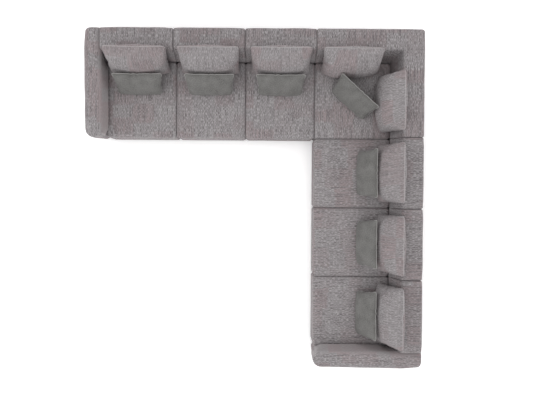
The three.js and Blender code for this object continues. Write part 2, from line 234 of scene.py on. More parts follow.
# Colours and nodes


def srgb(code):
    """An sRGB hex value as Blender's linear colour."""
    channels = [int(code[k : k + 2], 16) / 255 for k in (0, 2, 4)]
    linear = [c / 12.92 if c <= 0.04045 else ((c + 0.055) / 1.055) ** 2.4 for c in channels]
    return (*linear, 1.0)


def add_node(tree, kind, inputs=None, out=0, **settings):
    """Adds a node with its settings, fills its inputs with values or links, gives one output.
    Inputs go by name or number: a MapRange has its value at 0, its range at 1 and 2 and the new
    range at 3 and 4; a Mix has its share at 0 and two colours at 6 and 7."""
    node = tree.nodes.new("ShaderNode" + kind)
    for name, value in settings.items():
        setattr(node, name, value)
    for key, value in (inputs or {}).items():
        if isinstance(value, bpy.types.NodeSocket):
            tree.links.new(value, node.inputs[key])
        else:
            node.inputs[key].default_value = value
    return node.outputs[out] if node.outputs else None


def new_material(name):
    """A material with an empty node tree."""
    material = bpy.data.materials.new(name)
    material.use_nodes = True
    material.node_tree.nodes.clear()
    return material, material.node_tree


def chenille(name, painted_shade, liveliness, sheen=0.3, painted_highlight=0.0):
    """Woven chenille: short velvety pile on a grey ground, space-dyed in dusty rose, with slubs.
    The eye gets soft blocks of two tones, streaks along the yarn and small light flecks.
    Painted shade makes a whole piece darker by more of the darker yarn, or lighter below 0;
    stretched over a full cushion its flecks are fainter; and painted highlight makes a whole
    piece paler by more pale flecks."""
    colours = bpy.context.scene.sofa_colours
    material, tree = new_material(name)
    uv = add_node(tree, "UVMap", uv_map=WEAVE_MAP)

    # Ragged ends: each yarn changes colour about 10 mm sooner or later than its neighbour
    yarns = add_node(tree, "Mapping", {"Vector": uv, "Scale": (110, 9, 1)})
    ragged = add_node(tree, "TexNoise", {"Vector": yarns, "Scale": 1.0, "Detail": 1.0})
    late = add_node(tree, "Math", {0: ragged, 1: 0.5}, operation="SUBTRACT")
    lag = add_node(tree, "Math", {0: late, 1: 0.05}, operation="MULTIPLY")
    shift = add_node(tree, "CombineXYZ", {"Y": lag})
    placed = add_node(tree, "VectorMath", {0: uv, 1: shift}, operation="ADD")

    # Dye blocks 130 mm along the yarn in columns 195 mm wide
    turned = add_node(tree, "Mapping", {"Vector": placed, "Rotation": (0, 0, math.pi / 2)})
    blocks = add_node(
        tree,
        "TexBrick",
        {
            "Vector": turned, "Color1": (0, 0, 0, 1), "Color2": (1, 1, 1, 1),
            "Mortar": (0.5, 0.5, 0.5, 1), "Scale": 1.0, "Mortar Size": 0.0,
            "Mortar Smooth": 0.0, "Bias": 0.0, "Brick Width": 0.13, "Row Height": 0.195,
        },
        offset=0.37, offset_frequency=2, squash=1.25, squash_frequency=3,
    )
    dyed = add_node(tree, "MapRange", {0: blocks, 1: 0.35, 2: 0.85})
    lines = add_node(tree, "Mapping", {"Vector": uv, "Scale": (95, 7, 1), "Location": (1, 6, 0)})
    yarn_by_yarn = add_node(tree, "TexNoise", {"Vector": lines, "Scale": 1.0, "Detail": 1.0})
    taken = add_node(tree, "MapRange", {0: yarn_by_yarn, 1: 0.38, 2: 0.62, 3: 0.5, 4: 1.0})
    rosy = add_node(tree, "Math", {0: dyed, 1: taken}, operation="MULTIPLY")
    ground = add_node(
        tree, "Mix", {0: rosy, 6: colours.ground, 7: colours.rose}, out=2, data_type="RGBA"
    )

    # Streaks 190 mm along the yarn and 7 mm wide: coarser than the 2 mm yarn, so that they show
    along = add_node(tree, "Mapping", {"Vector": uv, "Scale": (145, 5.3, 1), "Location": (7, 3, 0)})
    streaks = add_node(
        tree, "TexNoise", {"Vector": along, "Scale": 1.0, "Detail": 1.0, "Roughness": 0.5}
    )
    # Painted shade: the piece's shade value adds to the darker yarn's share all over it, painting the
    # whole piece darker, or lighter below 0
    dark = add_node(
        tree, "MapRange", {0: streaks, 1: 0.53, 2: 0.42, 3: painted_shade, 4: 0.86 * liveliness + painted_shade},
    )
    woven = add_node(tree, "Mix", {0: dark, 6: ground, 7: colours.shade}, out=2, data_type="RGBA")

    # The grey blocks show more slubs than the rose ones
    most = add_node(
        tree, "MapRange", {0: dyed, 1: 1.0, 2: 0.0, 3: 0.34 * liveliness, 4: 0.51 * liveliness}
    )
    # Slubs 4 mm by 29 mm, again coarser than the real 3 mm ones
    short = add_node(tree, "Mapping", {"Vector": uv, "Scale": (225, 35, 1), "Location": (2, 9, 0)})
    slubs = add_node(
        tree, "TexNoise", {"Vector": short, "Scale": 1.0, "Detail": 1.0, "Roughness": 0.5}
    )
    flecks = add_node(tree, "MapRange", {0: slubs, 1: 0.48, 2: 0.62})
    # Painted highlight: the piece's highlight value adds pale flecks all over it, painting the whole
    # piece paler
    share = add_node(tree, "Math", {0: flecks, 1: most, 2: painted_highlight}, operation="MULTIPLY_ADD")
    colour = add_node(
        tree, "Mix", {0: share, 6: woven, 7: colours.fleck}, out=2, data_type="RGBA"
    )

    # Pile 2 mm to 3 mm long
    tufts = add_node(tree, "Mapping", {"Vector": uv, "Scale": (420, 300, 1)})
    pile = add_node(
        tree, "TexNoise", {"Vector": tufts, "Scale": 1.0, "Detail": 3.0, "Roughness": 0.65}
    )
    relief = add_node(tree, "Math", {0: pile, 1: slubs}, operation="ADD")
    bump = add_node(tree, "Bump", {"Strength": 0.5, "Distance": 0.0016, "Height": relief})
    matt = add_node(tree, "MapRange", {0: pile, 1: 0.2, 2: 0.8, 3: 0.82, 4: 0.97})
    shader = add_node(
        tree,
        "BsdfPrincipled",
        {
            "Base Color": colour, "Roughness": matt, "Normal": bump, "Specular IOR Level": 0.25,
            "Sheen Weight": sheen, "Sheen Roughness": 0.45, "Sheen Tint": srgb("b9b3b4"),
        },
    )
    add_node(tree, "OutputMaterial", {"Surface": shader})
    return material


def plain_weave():
    """Plain-woven wool blend: a flat, dry, grey-green cloth whose threads cross at right angles.
    The eye gets a fine even grain with slight marl, and no pile."""
    colours = bpy.context.scene.sofa_colours
    material, tree = new_material("plain_woven_wool_blend_grey")
    uv = add_node(tree, "UVMap", uv_map=WEAVE_MAP)
    # Marl 8 mm across, coarser than the real 1 mm
    fine = add_node(tree, "Mapping", {"Vector": uv, "Scale": (130, 115, 1)})
    marl = add_node(
        tree, "TexNoise", {"Vector": fine, "Scale": 1.0, "Detail": 3.0, "Roughness": 0.65}
    )
    # Faded clouds 80 mm to 100 mm across
    broad = add_node(tree, "Mapping", {"Vector": uv, "Scale": (12, 10, 1), "Location": (4, 4, 0)})
    clouds = add_node(tree, "TexNoise", {"Vector": broad, "Scale": 1.0, "Detail": 2.0})
    # Threads 5 mm apart, coarser than the real 0.8 mm so that they show
    threads = {"Vector": uv, "Scale": 63.0, "Distortion": 1.2, "Detail": 1.0, "Detail Scale": 40.0}
    warp = add_node(tree, "TexWave", threads, out=1, bands_direction="X")
    weft = add_node(tree, "TexWave", threads, out=1, bands_direction="Y")
    crossing = add_node(tree, "Math", {0: warp, 1: weft}, operation="MULTIPLY")
    speckle = add_node(tree, "MapRange", {0: marl, 1: 0.4, 2: 0.6})
    base = add_node(
        tree, "Mix", {0: speckle, 6: colours.pillow_shade, 7: colours.pillow},
        out=2, data_type="RGBA",
    )
    faded = add_node(tree, "MapRange", {0: clouds, 1: 0.3, 2: 0.7, 3: 0.0, 4: 0.3})
    tinted = add_node(
        tree, "Mix", {0: faded, 6: base, 7: colours.pillow_light}, out=2, data_type="RGBA"
    )
    raised = add_node(tree, "Math", {0: crossing, 1: 0.25}, operation="MULTIPLY")
    colour = add_node(
        tree, "Mix", {0: raised, 6: tinted, 7: colours.pillow_light}, out=2, data_type="RGBA"
    )
    relief = add_node(tree, "Math", {0: crossing, 1: marl}, operation="ADD")
    bump = add_node(tree, "Bump", {"Strength": 0.5, "Distance": 0.0008, "Height": relief})
    matt = add_node(tree, "MapRange", {0: marl, 1: 0.2, 2: 0.8, 3: 0.85, 4: 0.96})
    shader = add_node(
        tree,
        "BsdfPrincipled",
        {
            "Base Color": colour, "Roughness": matt, "Normal": bump, "Specular IOR Level": 0.2,
            "Sheen Weight": 0.08, "Sheen Roughness": 0.5,
        },
    )
    add_node(tree, "OutputMaterial", {"Surface": shader})
    return material


def piping_cloth():
    """The pillow's cloth cut on the bias round a cord: a tight edge, painted paler than the pillow as a
    painted highlight where it catches light.
    """
    colours = bpy.context.scene.sofa_colours
    material, tree = new_material("bias_cut_piping_grey")
    place = add_node(tree, "TexCoord", out="Object")
    # Thread knuckles 2.4 mm apart
    grain = add_node(tree, "TexNoise", {"Vector": place, "Scale": 420.0, "Detail": 2.0})
    speckle = add_node(tree, "MapRange", {0: grain, 1: 0.3, 2: 0.7})
    # Painted highlight: the piping's colours are paler than the pillow's cloth
    colour = add_node(
        tree, "Mix", {0: speckle, 6: colours.pillow_light, 7: colours.piping},
        out=2, data_type="RGBA",
    )
    bump = add_node(tree, "Bump", {"Strength": 0.4, "Distance": 0.0006, "Height": grain})
    shader = add_node(
        tree,
        "BsdfPrincipled",
        {"Base Color": colour, "Roughness": 0.86, "Normal": bump, "Specular IOR Level": 0.25},
    )
    add_node(tree, "OutputMaterial", {"Surface": shader})
    return material


def stained_timber():
    """Black-stained beech: closed straight grain under thin matt lacquer, greyer where feet rub."""
    material, tree = new_material("black_stained_beech")
    place = add_node(tree, "TexCoord", out="Object")
    # Grain lines 4 mm apart along the rails, rays 1 mm wide
    drawn = add_node(tree, "Mapping", {"Vector": place, "Scale": (8, 8, 240)})
    grain = add_node(
        tree, "TexNoise", {"Vector": drawn, "Scale": 1.0, "Detail": 4.0, "Roughness": 0.6}
    )
    rays = add_node(tree, "TexNoise", {"Vector": place, "Scale": 900.0, "Detail": 1.0})
    wear = add_node(tree, "TexNoise", {"Vector": place, "Scale": 14.0, "Detail": 3.0})
    lines = add_node(tree, "MapRange", {0: grain, 1: 0.3, 2: 0.7})
    stain = add_node(
        tree, "Mix", {0: lines, 6: srgb("1d1a18"), 7: srgb("332d29")}, out=2, data_type="RGBA"
    )
    rubbed = add_node(tree, "MapRange", {0: wear, 1: 0.58, 2: 0.75, 3: 0.0, 4: 0.35})
    colour = add_node(
        tree, "Mix", {0: rubbed, 6: stain, 7: srgb("5a5049")}, out=2, data_type="RGBA"
    )
    relief = add_node(tree, "Math", {0: grain, 1: rays}, operation="ADD")
    bump = add_node(tree, "Bump", {"Strength": 0.3, "Distance": 0.0005, "Height": relief})
    lacquer = add_node(tree, "MapRange", {0: wear, 1: 0.3, 2: 0.7, 3: 0.42, 4: 0.6})
    shader = add_node(
        tree,
        "BsdfPrincipled",
        {
            "Base Color": colour, "Roughness": lacquer, "Normal": bump,
            "Coat Weight": 0.15, "Coat Roughness": 0.4,
        },
    )
    add_node(tree, "OutputMaterial", {"Surface": shader})
    return material


def elastic_webbing():
    """Rubber and jute webbing: a ribbed brown belt, hairy with short jute fibres."""
    material, tree = new_material("jute_and_rubber_webbing")
    place = add_node(tree, "TexCoord", out="Object")
    # Ribs 12 mm apart both ways, hairs 3 mm apart
    ribs = {"Vector": place, "Scale": 26.0, "Distortion": 0.6}
    warp = add_node(tree, "TexWave", ribs, out=1, bands_direction="X")
    weft = add_node(tree, "TexWave", ribs, out=1, bands_direction="Y")
    weave = add_node(tree, "Math", {0: warp, 1: weft}, operation="MULTIPLY")
    fuzz = add_node(tree, "TexNoise", {"Vector": place, "Scale": 320.0, "Detail": 3.0})
    belt = add_node(
        tree, "Mix", {0: weave, 6: srgb("4a3b2c"), 7: srgb("9a8263")}, out=2, data_type="RGBA"
    )
    hairs = add_node(tree, "MapRange", {0: fuzz, 1: 0.45, 2: 0.75, 3: 0.0, 4: 0.5})
    colour = add_node(tree, "Mix", {0: hairs, 6: belt, 7: srgb("b39a78")}, out=2, data_type="RGBA")
    relief = add_node(tree, "Math", {0: weave, 1: fuzz}, operation="ADD")
    bump = add_node(tree, "Bump", {"Strength": 0.6, "Distance": 0.001, "Height": relief})
    shader = add_node(
        tree,
        "BsdfPrincipled",
        {"Base Color": colour, "Roughness": 0.88, "Normal": bump, "Specular IOR Level": 0.3},
    )
    add_node(tree, "OutputMaterial", {"Surface": shader})
    return material


def zinc_plate():
    """Zinc-plated rolled steel: pale grey metal with soft spangle and fine rolling marks."""
    material, tree = new_material("zinc_plated_steel")
    place = add_node(tree, "TexCoord", out="Object")
    # Spangle 9 mm across, rolling marks 1 mm apart
    spangle = add_node(tree, "TexVoronoi", {"Vector": place, "Scale": 110.0}, out="Color")
    rolled = add_node(tree, "Mapping", {"Vector": place, "Scale": (30, 900, 30)})
    marks = add_node(tree, "TexNoise", {"Vector": rolled, "Scale": 1.0, "Detail": 2.0})
    tone = add_node(tree, "SeparateColor", {0: spangle})
    share = add_node(tree, "Math", {0: tone, 1: 0.6}, operation="MULTIPLY")
    colour = add_node(
        tree, "Mix", {0: share, 6: srgb("9fa2a5"), 7: srgb("c3c6c9")}, out=2, data_type="RGBA"
    )
    bump = add_node(tree, "Bump", {"Strength": 0.2, "Distance": 0.0002, "Height": marks})
    brushed = add_node(tree, "MapRange", {0: marks, 1: 0.2, 2: 0.8, 3: 0.32, 4: 0.48})
    shader = add_node(
        tree,
        "BsdfPrincipled",
        {"Base Color": colour, "Metallic": 1.0, "Roughness": brushed, "Normal": bump},
    )
    add_node(tree, "OutputMaterial", {"Surface": shader})
    return material


def dust_cover():
    """Black spun-bonded cloth stapled under the frame: thin, matt, faintly dimpled."""
    material, tree = new_material("black_spunbonded_dust_cover")
    place = add_node(tree, "TexCoord", out="Object")
    # Bonding dimples 5 mm apart, coarser than the real 1 mm
    dimples = add_node(tree, "TexVoronoi", {"Vector": place, "Scale": 200.0})
    sag = add_node(tree, "TexNoise", {"Vector": place, "Scale": 6.0})
    shown = add_node(tree, "MapRange", {0: dimples, 1: 0.1, 2: 0.7})
    colour = add_node(
        tree, "Mix", {0: shown, 6: srgb("1b1b1c"), 7: srgb("2d2d2f")}, out=2, data_type="RGBA"
    )
    relief = add_node(tree, "Math", {0: dimples, 1: sag}, operation="ADD")
    bump = add_node(tree, "Bump", {"Strength": 0.4, "Distance": 0.0008, "Height": relief})
    shader = add_node(
        tree,
        "BsdfPrincipled",
        {"Base Color": colour, "Roughness": 0.93, "Normal": bump, "Specular IOR Level": 0.2},
    )
    add_node(tree, "OutputMaterial", {"Surface": shader})
    return material


# What makes the material of each use. Chenille takes its name, painted shade, liveliness, sheen and
# painted highlight. These paint the backrests, back cushions and arms darker, and the cushions' seams
# and the arms' inner sides lighter, in place of light and shade
MATERIALS = {
    "chenille": (chenille, "woven_chenille_heather_grey", 0.0, 0.87),
    # Painted shade: the backrests darker
    "chenille_back": (chenille, "woven_chenille_painted_darker", 0.2, 0.82),
    # Painted shade: the back cushions darker; stretched, with fainter flecks
    "chenille_cushion": (chenille, "woven_chenille_stretched_painted_darker", 0.05, 0.6),
    # Painted shade: the arms darker
    "chenille_arm": (chenille, "woven_chenille_on_the_arms", 0.08, 0.9),
    # Painted highlight: the cushions' seams paler, a light line along their edges
    "chenille_seam": (chenille, "woven_chenille_seams_painted_lighter", -0.3, 0.3, 0.5, 0.28),
    # Painted light: the arms' inner sides paler, with fewer flecks
    "chenille_side": (chenille, "woven_chenille_smooth_painted_lighter", -0.3, 0.4, 0.7, 0.04),
    "plain_weave": (plain_weave,),
    "piping": (piping_cloth,),
    "timber": (stained_timber,),
    "webbing": (elastic_webbing,),
    "zinc": (zinc_plate,),
    "dust_cover": (dust_cover,),
}
made_materials = {}


def material_for(use):
    """The finished material for a use, made the first time that it is asked for."""
    if use not in made_materials:
        make, *settings = MATERIALS[use]
        made_materials[use] = make(*settings)
    return made_materials[use]


# Shaping


def cut_at(shape, axis, places):
    """Cuts the whole shape by planes across one axis."""
    normal = Vector((0, 0, 0))
    normal[axis] = 1
    for place in places:
        bmesh.ops.bisect_plane(
            shape,
            geom=shape.verts[:] + shape.edges[:] + shape.faces[:],
            plane_co=normal * place,
            plane_no=normal,
            dist=CUT_TOLERANCE,
        )


def spread(low, high, cell):
    """Places from low to high, both included, about a cell apart."""
    steps = max(1, round((high - low) / cell))
    return [low + (high - low) * k / steps for k in range(steps + 1)]


def subdivided_cube(steps):
    """A cube of size 2 whose edges are cut into the given steps along X, Y and Z."""
    shape = bmesh.new()
    bmesh.ops.create_cube(shape, size=2.0)
    for axis in range(3):
        if steps[axis] > 1:
            edges = edges_along(shape, axis, lambda middle: True)
            bmesh.ops.subdivide_edges(shape, edges=edges, cuts=steps[axis] - 1)
    return shape


def grid_lines(low, high, low_band, high_band, segments, cell):
    """Grid places along one axis: close together in the rounded bands, a cell apart between."""
    arcs = [1 - math.tan(math.pi / 4 * (1 - k / segments)) for k in range(segments)]
    inner = spread(low + low_band, high - high_band, cell)
    head = [low + low_band * (a if k else 0.0) for k, a in enumerate(arcs)]
    tail = [high - high_band * (a if k else 0.0) for k, a in enumerate(arcs)]
    return head + inner + tail[::-1]


def block_on_grid(lines):
    """A cube cut into cells, its vertices set on the grid lines of its three axes."""
    shape = subdivided_cube([len(places) - 1 for places in lines])
    for vert in shape.verts:
        vert.co = Vector([
            lines[axis][round((vert.co[axis] + 1) / 2 * (len(lines[axis]) - 1))]
            for axis in range(3)
        ])
    return shape


def kept_within(value, low, high):
    """The value, or the limit that it goes past."""
    return min(max(value, low), high)


def rounded_block(low, high, plan_radius, top_radius, foot_radius, segments, cell):
    """A padded block: its upright edges rounded by one radius, its upper edges by another and
    its foot by a third."""
    shape = block_on_grid((
        grid_lines(low.x, high.x, plan_radius, plan_radius, segments, cell),
        grid_lines(low.y, high.y, plan_radius, plan_radius, segments, cell),
        grid_lines(low.z, high.z, foot_radius, top_radius, segments, cell),
    ))
    middle = (low + high) / 2
    for vert in shape.verts:
        x, y, z = vert.co
        radius = top_radius if z > middle.z else foot_radius
        core_x = kept_within(x, low.x + plan_radius, high.x - plan_radius)
        core_y = kept_within(y, low.y + plan_radius, high.y - plan_radius)
        core_z = kept_within(z, low.z + radius, high.z - radius)
        aside = Vector((x - core_x, y - core_y))
        reach = max(abs(aside.x), abs(aside.y))
        band = max(0.0, reach - (plan_radius - radius)) / radius
        over = abs(z - core_z) / radius
        if band > 0 and over > 0:
            length = math.hypot(band, over) / max(band, over)
            reach += radius * (band / length - band)
            over /= length
        if aside.length > TINY:
            aside.length = reach
        vert.co = Vector((
            core_x + aside.x, core_y + aside.y, core_z + math.copysign(over * radius, z - core_z)
        ))
    return shape


def end_rounded_block(low, high, radius, foot_radius, end_radius, segments, cell):
    """A padded block whose long edges have a wide rounding and whose ends along X a tight one."""
    squeeze = end_radius / radius
    shape = block_on_grid((
        grid_lines(low.x, high.x, end_radius, end_radius, segments, cell),
        grid_lines(low.y, high.y, radius, radius, segments, cell),
        grid_lines(low.z, high.z, foot_radius, radius, segments, cell),
    ))
    middle = (low + high) / 2
    for vert in shape.verts:
        r = radius if vert.co.z > middle.z else foot_radius
        core = Vector((
            kept_within(vert.co.x, low.x + r * squeeze, high.x - r * squeeze),
            kept_within(vert.co.y, low.y + r, high.y - r),
            kept_within(vert.co.z, low.z + r, high.z - r),
        ))
        out = vert.co - core
        out.x /= squeeze
        if out.length > TINY:
            out.length = r
        out.x *= squeeze
        vert.co = core + out
    return shape


def edges_along(shape, axis, test):
    """The edges that run along an axis and whose middle passes a test."""
    found = []
    for edge in shape.edges:
        span = edge.verts[1].co - edge.verts[0].co
        middle = (edge.verts[0].co + edge.verts[1].co) / 2
        if abs(span[axis]) > POINTING * span.length and test(middle):
            found.append(edge)
    return found


def round_edges(shape, edges, radius, segments):
    """Rounds edges by a radius, in the given steps."""
    bmesh.ops.bevel(
        shape, geom=edges, offset=radius, offset_type="OFFSET", segments=segments,
        profile=0.5, material=-1, affect="EDGES", clamp_overlap=True,
    )


def smoothstep(low, high, value):
    """A smooth step from 0 at low to 1 at high, which may lie below low."""
    share = kept_within((value - low) / (high - low), 0.0, 1.0)
    return share * share * (3 - 2 * share)


def swollen(share, power):
    """How full a filled form is, from 1 in its middle to 0 at a share of 1."""
    return max(0.0, 1 - abs(share) ** power)


def press_seams(shape, distance_to_seam, depth, reach):
    """Draws the cloth in by a depth along seams, fading out over a reach."""
    shape.normal_update()
    moves = []
    for vert in shape.verts:
        away = distance_to_seam(vert)
        if away < reach:
            moves.append((vert, vert.normal * (-depth * (1 - (away / reach) ** 2) ** 2)))
    for vert, move in moves:
        vert.co += move


def ripple(shape, seed, kind, mask=None):
    """Soft unevenness of padding under cloth: a smooth wave along the surface's normal."""
    size, height = UNEVENNESS[kind]
    shape.normal_update()
    offset = Vector([seed * step for step in NOISE_STEP])
    moves = [
        (vert, vert.normal * (height * noise.noise(vert.co / size + offset)))
        for vert in shape.verts
    ]
    for vert, move in moves:
        vert.co += move * (mask(vert.co) if mask else 1.0)


def weave_start(seed):
    """Where in the cloth a piece is cut from, so that no two pieces show the same blocks."""
    return Vector([seed * step for step in WEAVE_STEP])


def lay_weave(shape, top, seed):
    """Writes the weave map in metres. It unrolls from the top over the edges, so yarns run on."""
    layer = shape.loops.layers.uv.new(WEAVE_MAP)
    shape.normal_update()
    start = weave_start(seed)
    for face in shape.faces:
        normal = face.normal
        sideways = abs(normal.x) > abs(normal.y)
        turn = math.copysign(1, normal.x if sideways else normal.y)
        for loop in face.loops:
            x, y, z = loop.vert.co
            drop = (top - z) * turn
            loop[layer].uv = start + (Vector((x + drop, y)) if sideways else Vector((x, y + drop)))


def add_piece(shape, name, nodes, uses, body="sofa", top=None, seed=0):
    """Turns a shape into a finished piece that stands for its CAD nodes and rides on their body.
    The weave is laid from a top, unless the shape has brought its own map."""
    if top is not None:
        lay_weave(shape, top, seed)
    if is_mirrored(nodes[0]):
        bmesh.ops.transform(shape, matrix=ACROSS_DIAGONAL, verts=shape.verts)
        bmesh.ops.reverse_faces(shape, faces=shape.faces)
    for face in shape.faces:
        face.smooth = True
    mesh = bpy.data.meshes.new(name)
    shape.to_mesh(mesh)
    shape.free()
    piece = bpy.data.objects.new(name, mesh)
    bpy.context.scene.collection.objects.link(piece)
    for use in uses:
        mesh.materials.append(material_for(use))
    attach(piece, body)
    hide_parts(*nodes)
    return piece


def finish_nodes(names, use):
    """Gives the CAD nodes that stay as they are their finish."""
    for name in names:
        slots = frame["nodes"][name].data.materials
        slots.clear()
        slots.append(material_for(use))


# Pieces


def base_frame(module, seed, sizes):
    """A timber box wrapped in the sofa's cloth, with a dust cover stapled under it."""
    node = f"{module}_base_frame"
    low, high = local_box(node)
    radius = sizes.base_radius
    shape = rounded_block(
        low, high, sizes.base_plan_radius, radius, radius,
        BASE_SEGMENTS, sizes.padding_cell * BASE_CELLS,
    )
    shape.normal_update()
    for face in shape.faces:
        middle = face.calc_center_median()
        inner = min(middle.x - low.x, high.x - middle.x, middle.y - low.y, high.y - middle.y)
        if face.normal.z < -POINTING and inner > sizes.cover_margin:
            face.material_index = 1

    def inside(co):
        return (smoothstep(0, BASE_EDGE_ZONE, high.z - co.z)
                * smoothstep(0, BASE_EDGE_ZONE, co.z - low.z))

    ripple(shape, seed, "base", inside)
    add_piece(
        shape, f"{module}_base_upholstery", [node], ["chenille", "dust_cover"],
        top=high.z + sizes.cushion_side, seed=seed,
    )


def seat_cushion(module, seed, sizes):
    """A boxed foam cushion: crowned top, rounded edges, a seam round the top and the underside."""
    node = f"{module}_seat_cushion"
    low, high = local_box(node)
    side_top = high.z - sizes.seat_crown
    radius = sizes.seat_radius
    shape = rounded_block(
        low, Vector((high.x, high.y, side_top)), sizes.seat_plan_radius, radius, radius,
        sizes.edge_segments, sizes.padding_cell,
    )
    seams = (side_top - radius * SEAM_PLACE, low.z + radius * SEAM_PLACE)
    for seam in seams:
        cut_at(shape, 2, [seam + k * sizes.seam_reach / 2 for k in (-1, 0, 1)])
    middle, half = (low + high) / 2, (high - low) / 2
    for vert in shape.verts:
        x, y = (vert.co.x - middle.x) / half.x, (vert.co.y - middle.y) / half.y
        share = smoothstep(low.z, side_top, vert.co.z)
        full = swollen(x, sizes.seat_fullness) * swollen(y, sizes.seat_fullness)
        vert.co.z += sizes.seat_crown * share * full ** SEAT_CROWN_POWER

    def inside(co):
        if co.z <= middle.z:
            return 0
        return min(
            smoothstep(0, SEAT_EDGE_ZONE, half.x - abs(co.x - middle.x)),
            smoothstep(0, SEAT_EDGE_ZONE, half.y - abs(co.y - middle.y)),
        )

    ripple(shape, seed, "seat", inside)
    press_seams(
        shape, lambda v: min(abs(v.co.z - s) for s in seams), sizes.seam_depth, sizes.seam_reach
    )
    add_piece(
        shape, f"{module}_seat_cover", [node], ["chenille"],
        top=side_top, seed=seed,
    )


def lean_front(shape, low, high, sizes):
    """Leans the front face back from the seat to the top: the backrest is thinner at its top."""
    cut_at(shape, 2, [sizes.seat_top])
    taper = (sizes.backrest_foot - sizes.backrest_top) / (high.z - sizes.seat_top)
    for vert in shape.verts:
        share = (high.y - vert.co.y) / (high.y - low.y)
        vert.co.y += share * taper * max(0.0, vert.co.z - sizes.seat_top)


def straight_backrest(module, seed, sizes):
    """A padded backrest over a frame: sloped front, wide rounded top, ends drawn to the seams."""
    node = f"{module}_backrest"
    low, high = local_box(node)
    shape = end_rounded_block(
        low, high, sizes.backrest_radius, sizes.base_radius, sizes.end_radius,
        sizes.edge_segments, sizes.padding_cell * BROAD_CELLS,
    )
    lean_front(shape, low, high, sizes)
    soften_backrest(shape, low, high, seed, sizes)
    add_piece(
        shape, f"{module}_backrest_cover", [node], ["chenille_back"],
        top=high.z, seed=seed + BACKREST_CLOTH,
    )


def soften_backrest(shape, low, high, seed, sizes):
    """Padding under the cloth: uneven, and drawn in where two modules meet."""
    for vert in shape.verts:
        near = min(vert.co.x - low.x, high.x - vert.co.x)
        dip = sizes.end_dip * (1 - smoothstep(0, DIP_REACH, near))
        if vert.co.z > high.z - DIP_TOP:
            vert.co.z -= dip
        if vert.co.y > high.y - DIP_REAR:
            vert.co.y -= dip * DIP_REAR_SHARE
    ripple(
        shape, seed + BACKREST_PADDING, "backrest",
        lambda co: smoothstep(0, BACKREST_END_ZONE, min(co.x - low.x, high.x - co.x)),
    )


def corner_backrest(seed, sizes):
    """The corner's backrest: an L in plan that turns slope and padded top round the corner."""
    node = "corner_backrest"
    low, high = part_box(node)
    foot_line = high.x - sizes.backrest_foot
    head_line = high.x - sizes.backrest_top
    outline = [
        (low.x, foot_line), (foot_line, foot_line), (foot_line, low.y),
        (high.x, low.y), (high.x, high.y), (low.x, high.y),
    ]
    shape = bmesh.new()
    face = shape.faces.new([shape.verts.new((x, y, low.z)) for x, y in outline])
    made = bmesh.ops.extrude_face_region(shape, geom=[face])["geom"]
    face = next(g for g in made if isinstance(g, bmesh.types.BMFace))
    bmesh.ops.translate(shape, vec=(0, 0, high.z - low.z), verts=face.verts)
    cut_at(shape, 2, [sizes.seat_top])
    for vert in face.verts:
        for axis in (0, 1):
            if abs(vert.co[axis] - foot_line) < TOUCH:
                vert.co[axis] = head_line
    bmesh.ops.recalc_face_normals(shape, faces=shape.faces)
    round_corner_backrest(shape, low, high, head_line, sizes)

    cell = sizes.padding_cell * BROAD_CELLS
    trim = sizes.end_radius + CELL_MARGIN
    for axis in (0, 1):
        cut_at(shape, axis, spread(low[axis] + trim, foot_line - FOOT_MARGIN, cell))
        cut_at(shape, axis, spread(head_line + OUTER_MARGIN, high[axis] - OUTER_MARGIN, cell))
    below_top = high.z - sizes.backrest_radius - CELL_MARGIN
    cut_at(shape, 2, spread(sizes.seat_top + SEAT_MARGIN, below_top, CORNER_CELL_HEIGHT))
    ripple(
        shape, seed + BACKREST_PADDING, "backrest",
        lambda co: smoothstep(0, BACKREST_END_ZONE, min(co.x - low.x, co.y - low.y)),
    )
    add_piece(
        shape, "corner_backrest_cover", [node], ["chenille_back"],
        top=high.z, seed=seed + BACKREST_CLOTH,
    )


def round_corner_backrest(shape, low, high, head_line, sizes):
    """Rounds the outer corner, then the top, then its edge over the seat, and last both ends."""

    def at_top(edge):
        return min(vert.co.z for vert in edge.verts) > high.z - TOUCH

    def at_end(edge):
        return any(
            max(vert.co[axis] for vert in edge.verts) < low[axis] + TOUCH for axis in (0, 1)
        )

    def over_seat(edge):
        return all(max(vert.co.x, vert.co.y) < head_line + LINE_NEAR for vert in edge.verts)

    outer = edges_along(shape, 2, lambda m: m.x > high.x - NEAR and m.y > high.y - NEAR)
    round_edges(shape, outer, sizes.corner_radius, sizes.edge_segments)
    top = [e for e in shape.edges if at_top(e) and not at_end(e) and not over_seat(e)]
    round_edges(shape, top, sizes.backrest_radius, TOP_SEGMENTS)
    inner = [e for e in shape.edges if at_top(e) and not at_end(e) and over_seat(e)]
    round_edges(shape, inner, sizes.inner_edge_radius, INNER_EDGE_SEGMENTS)
    ends = [
        e for e in shape.edges
        if at_end(e) and len(e.link_faces) == 2 and e.calc_face_angle(0) > SHARP
    ]
    round_edges(shape, ends, sizes.end_radius, sizes.edge_segments)


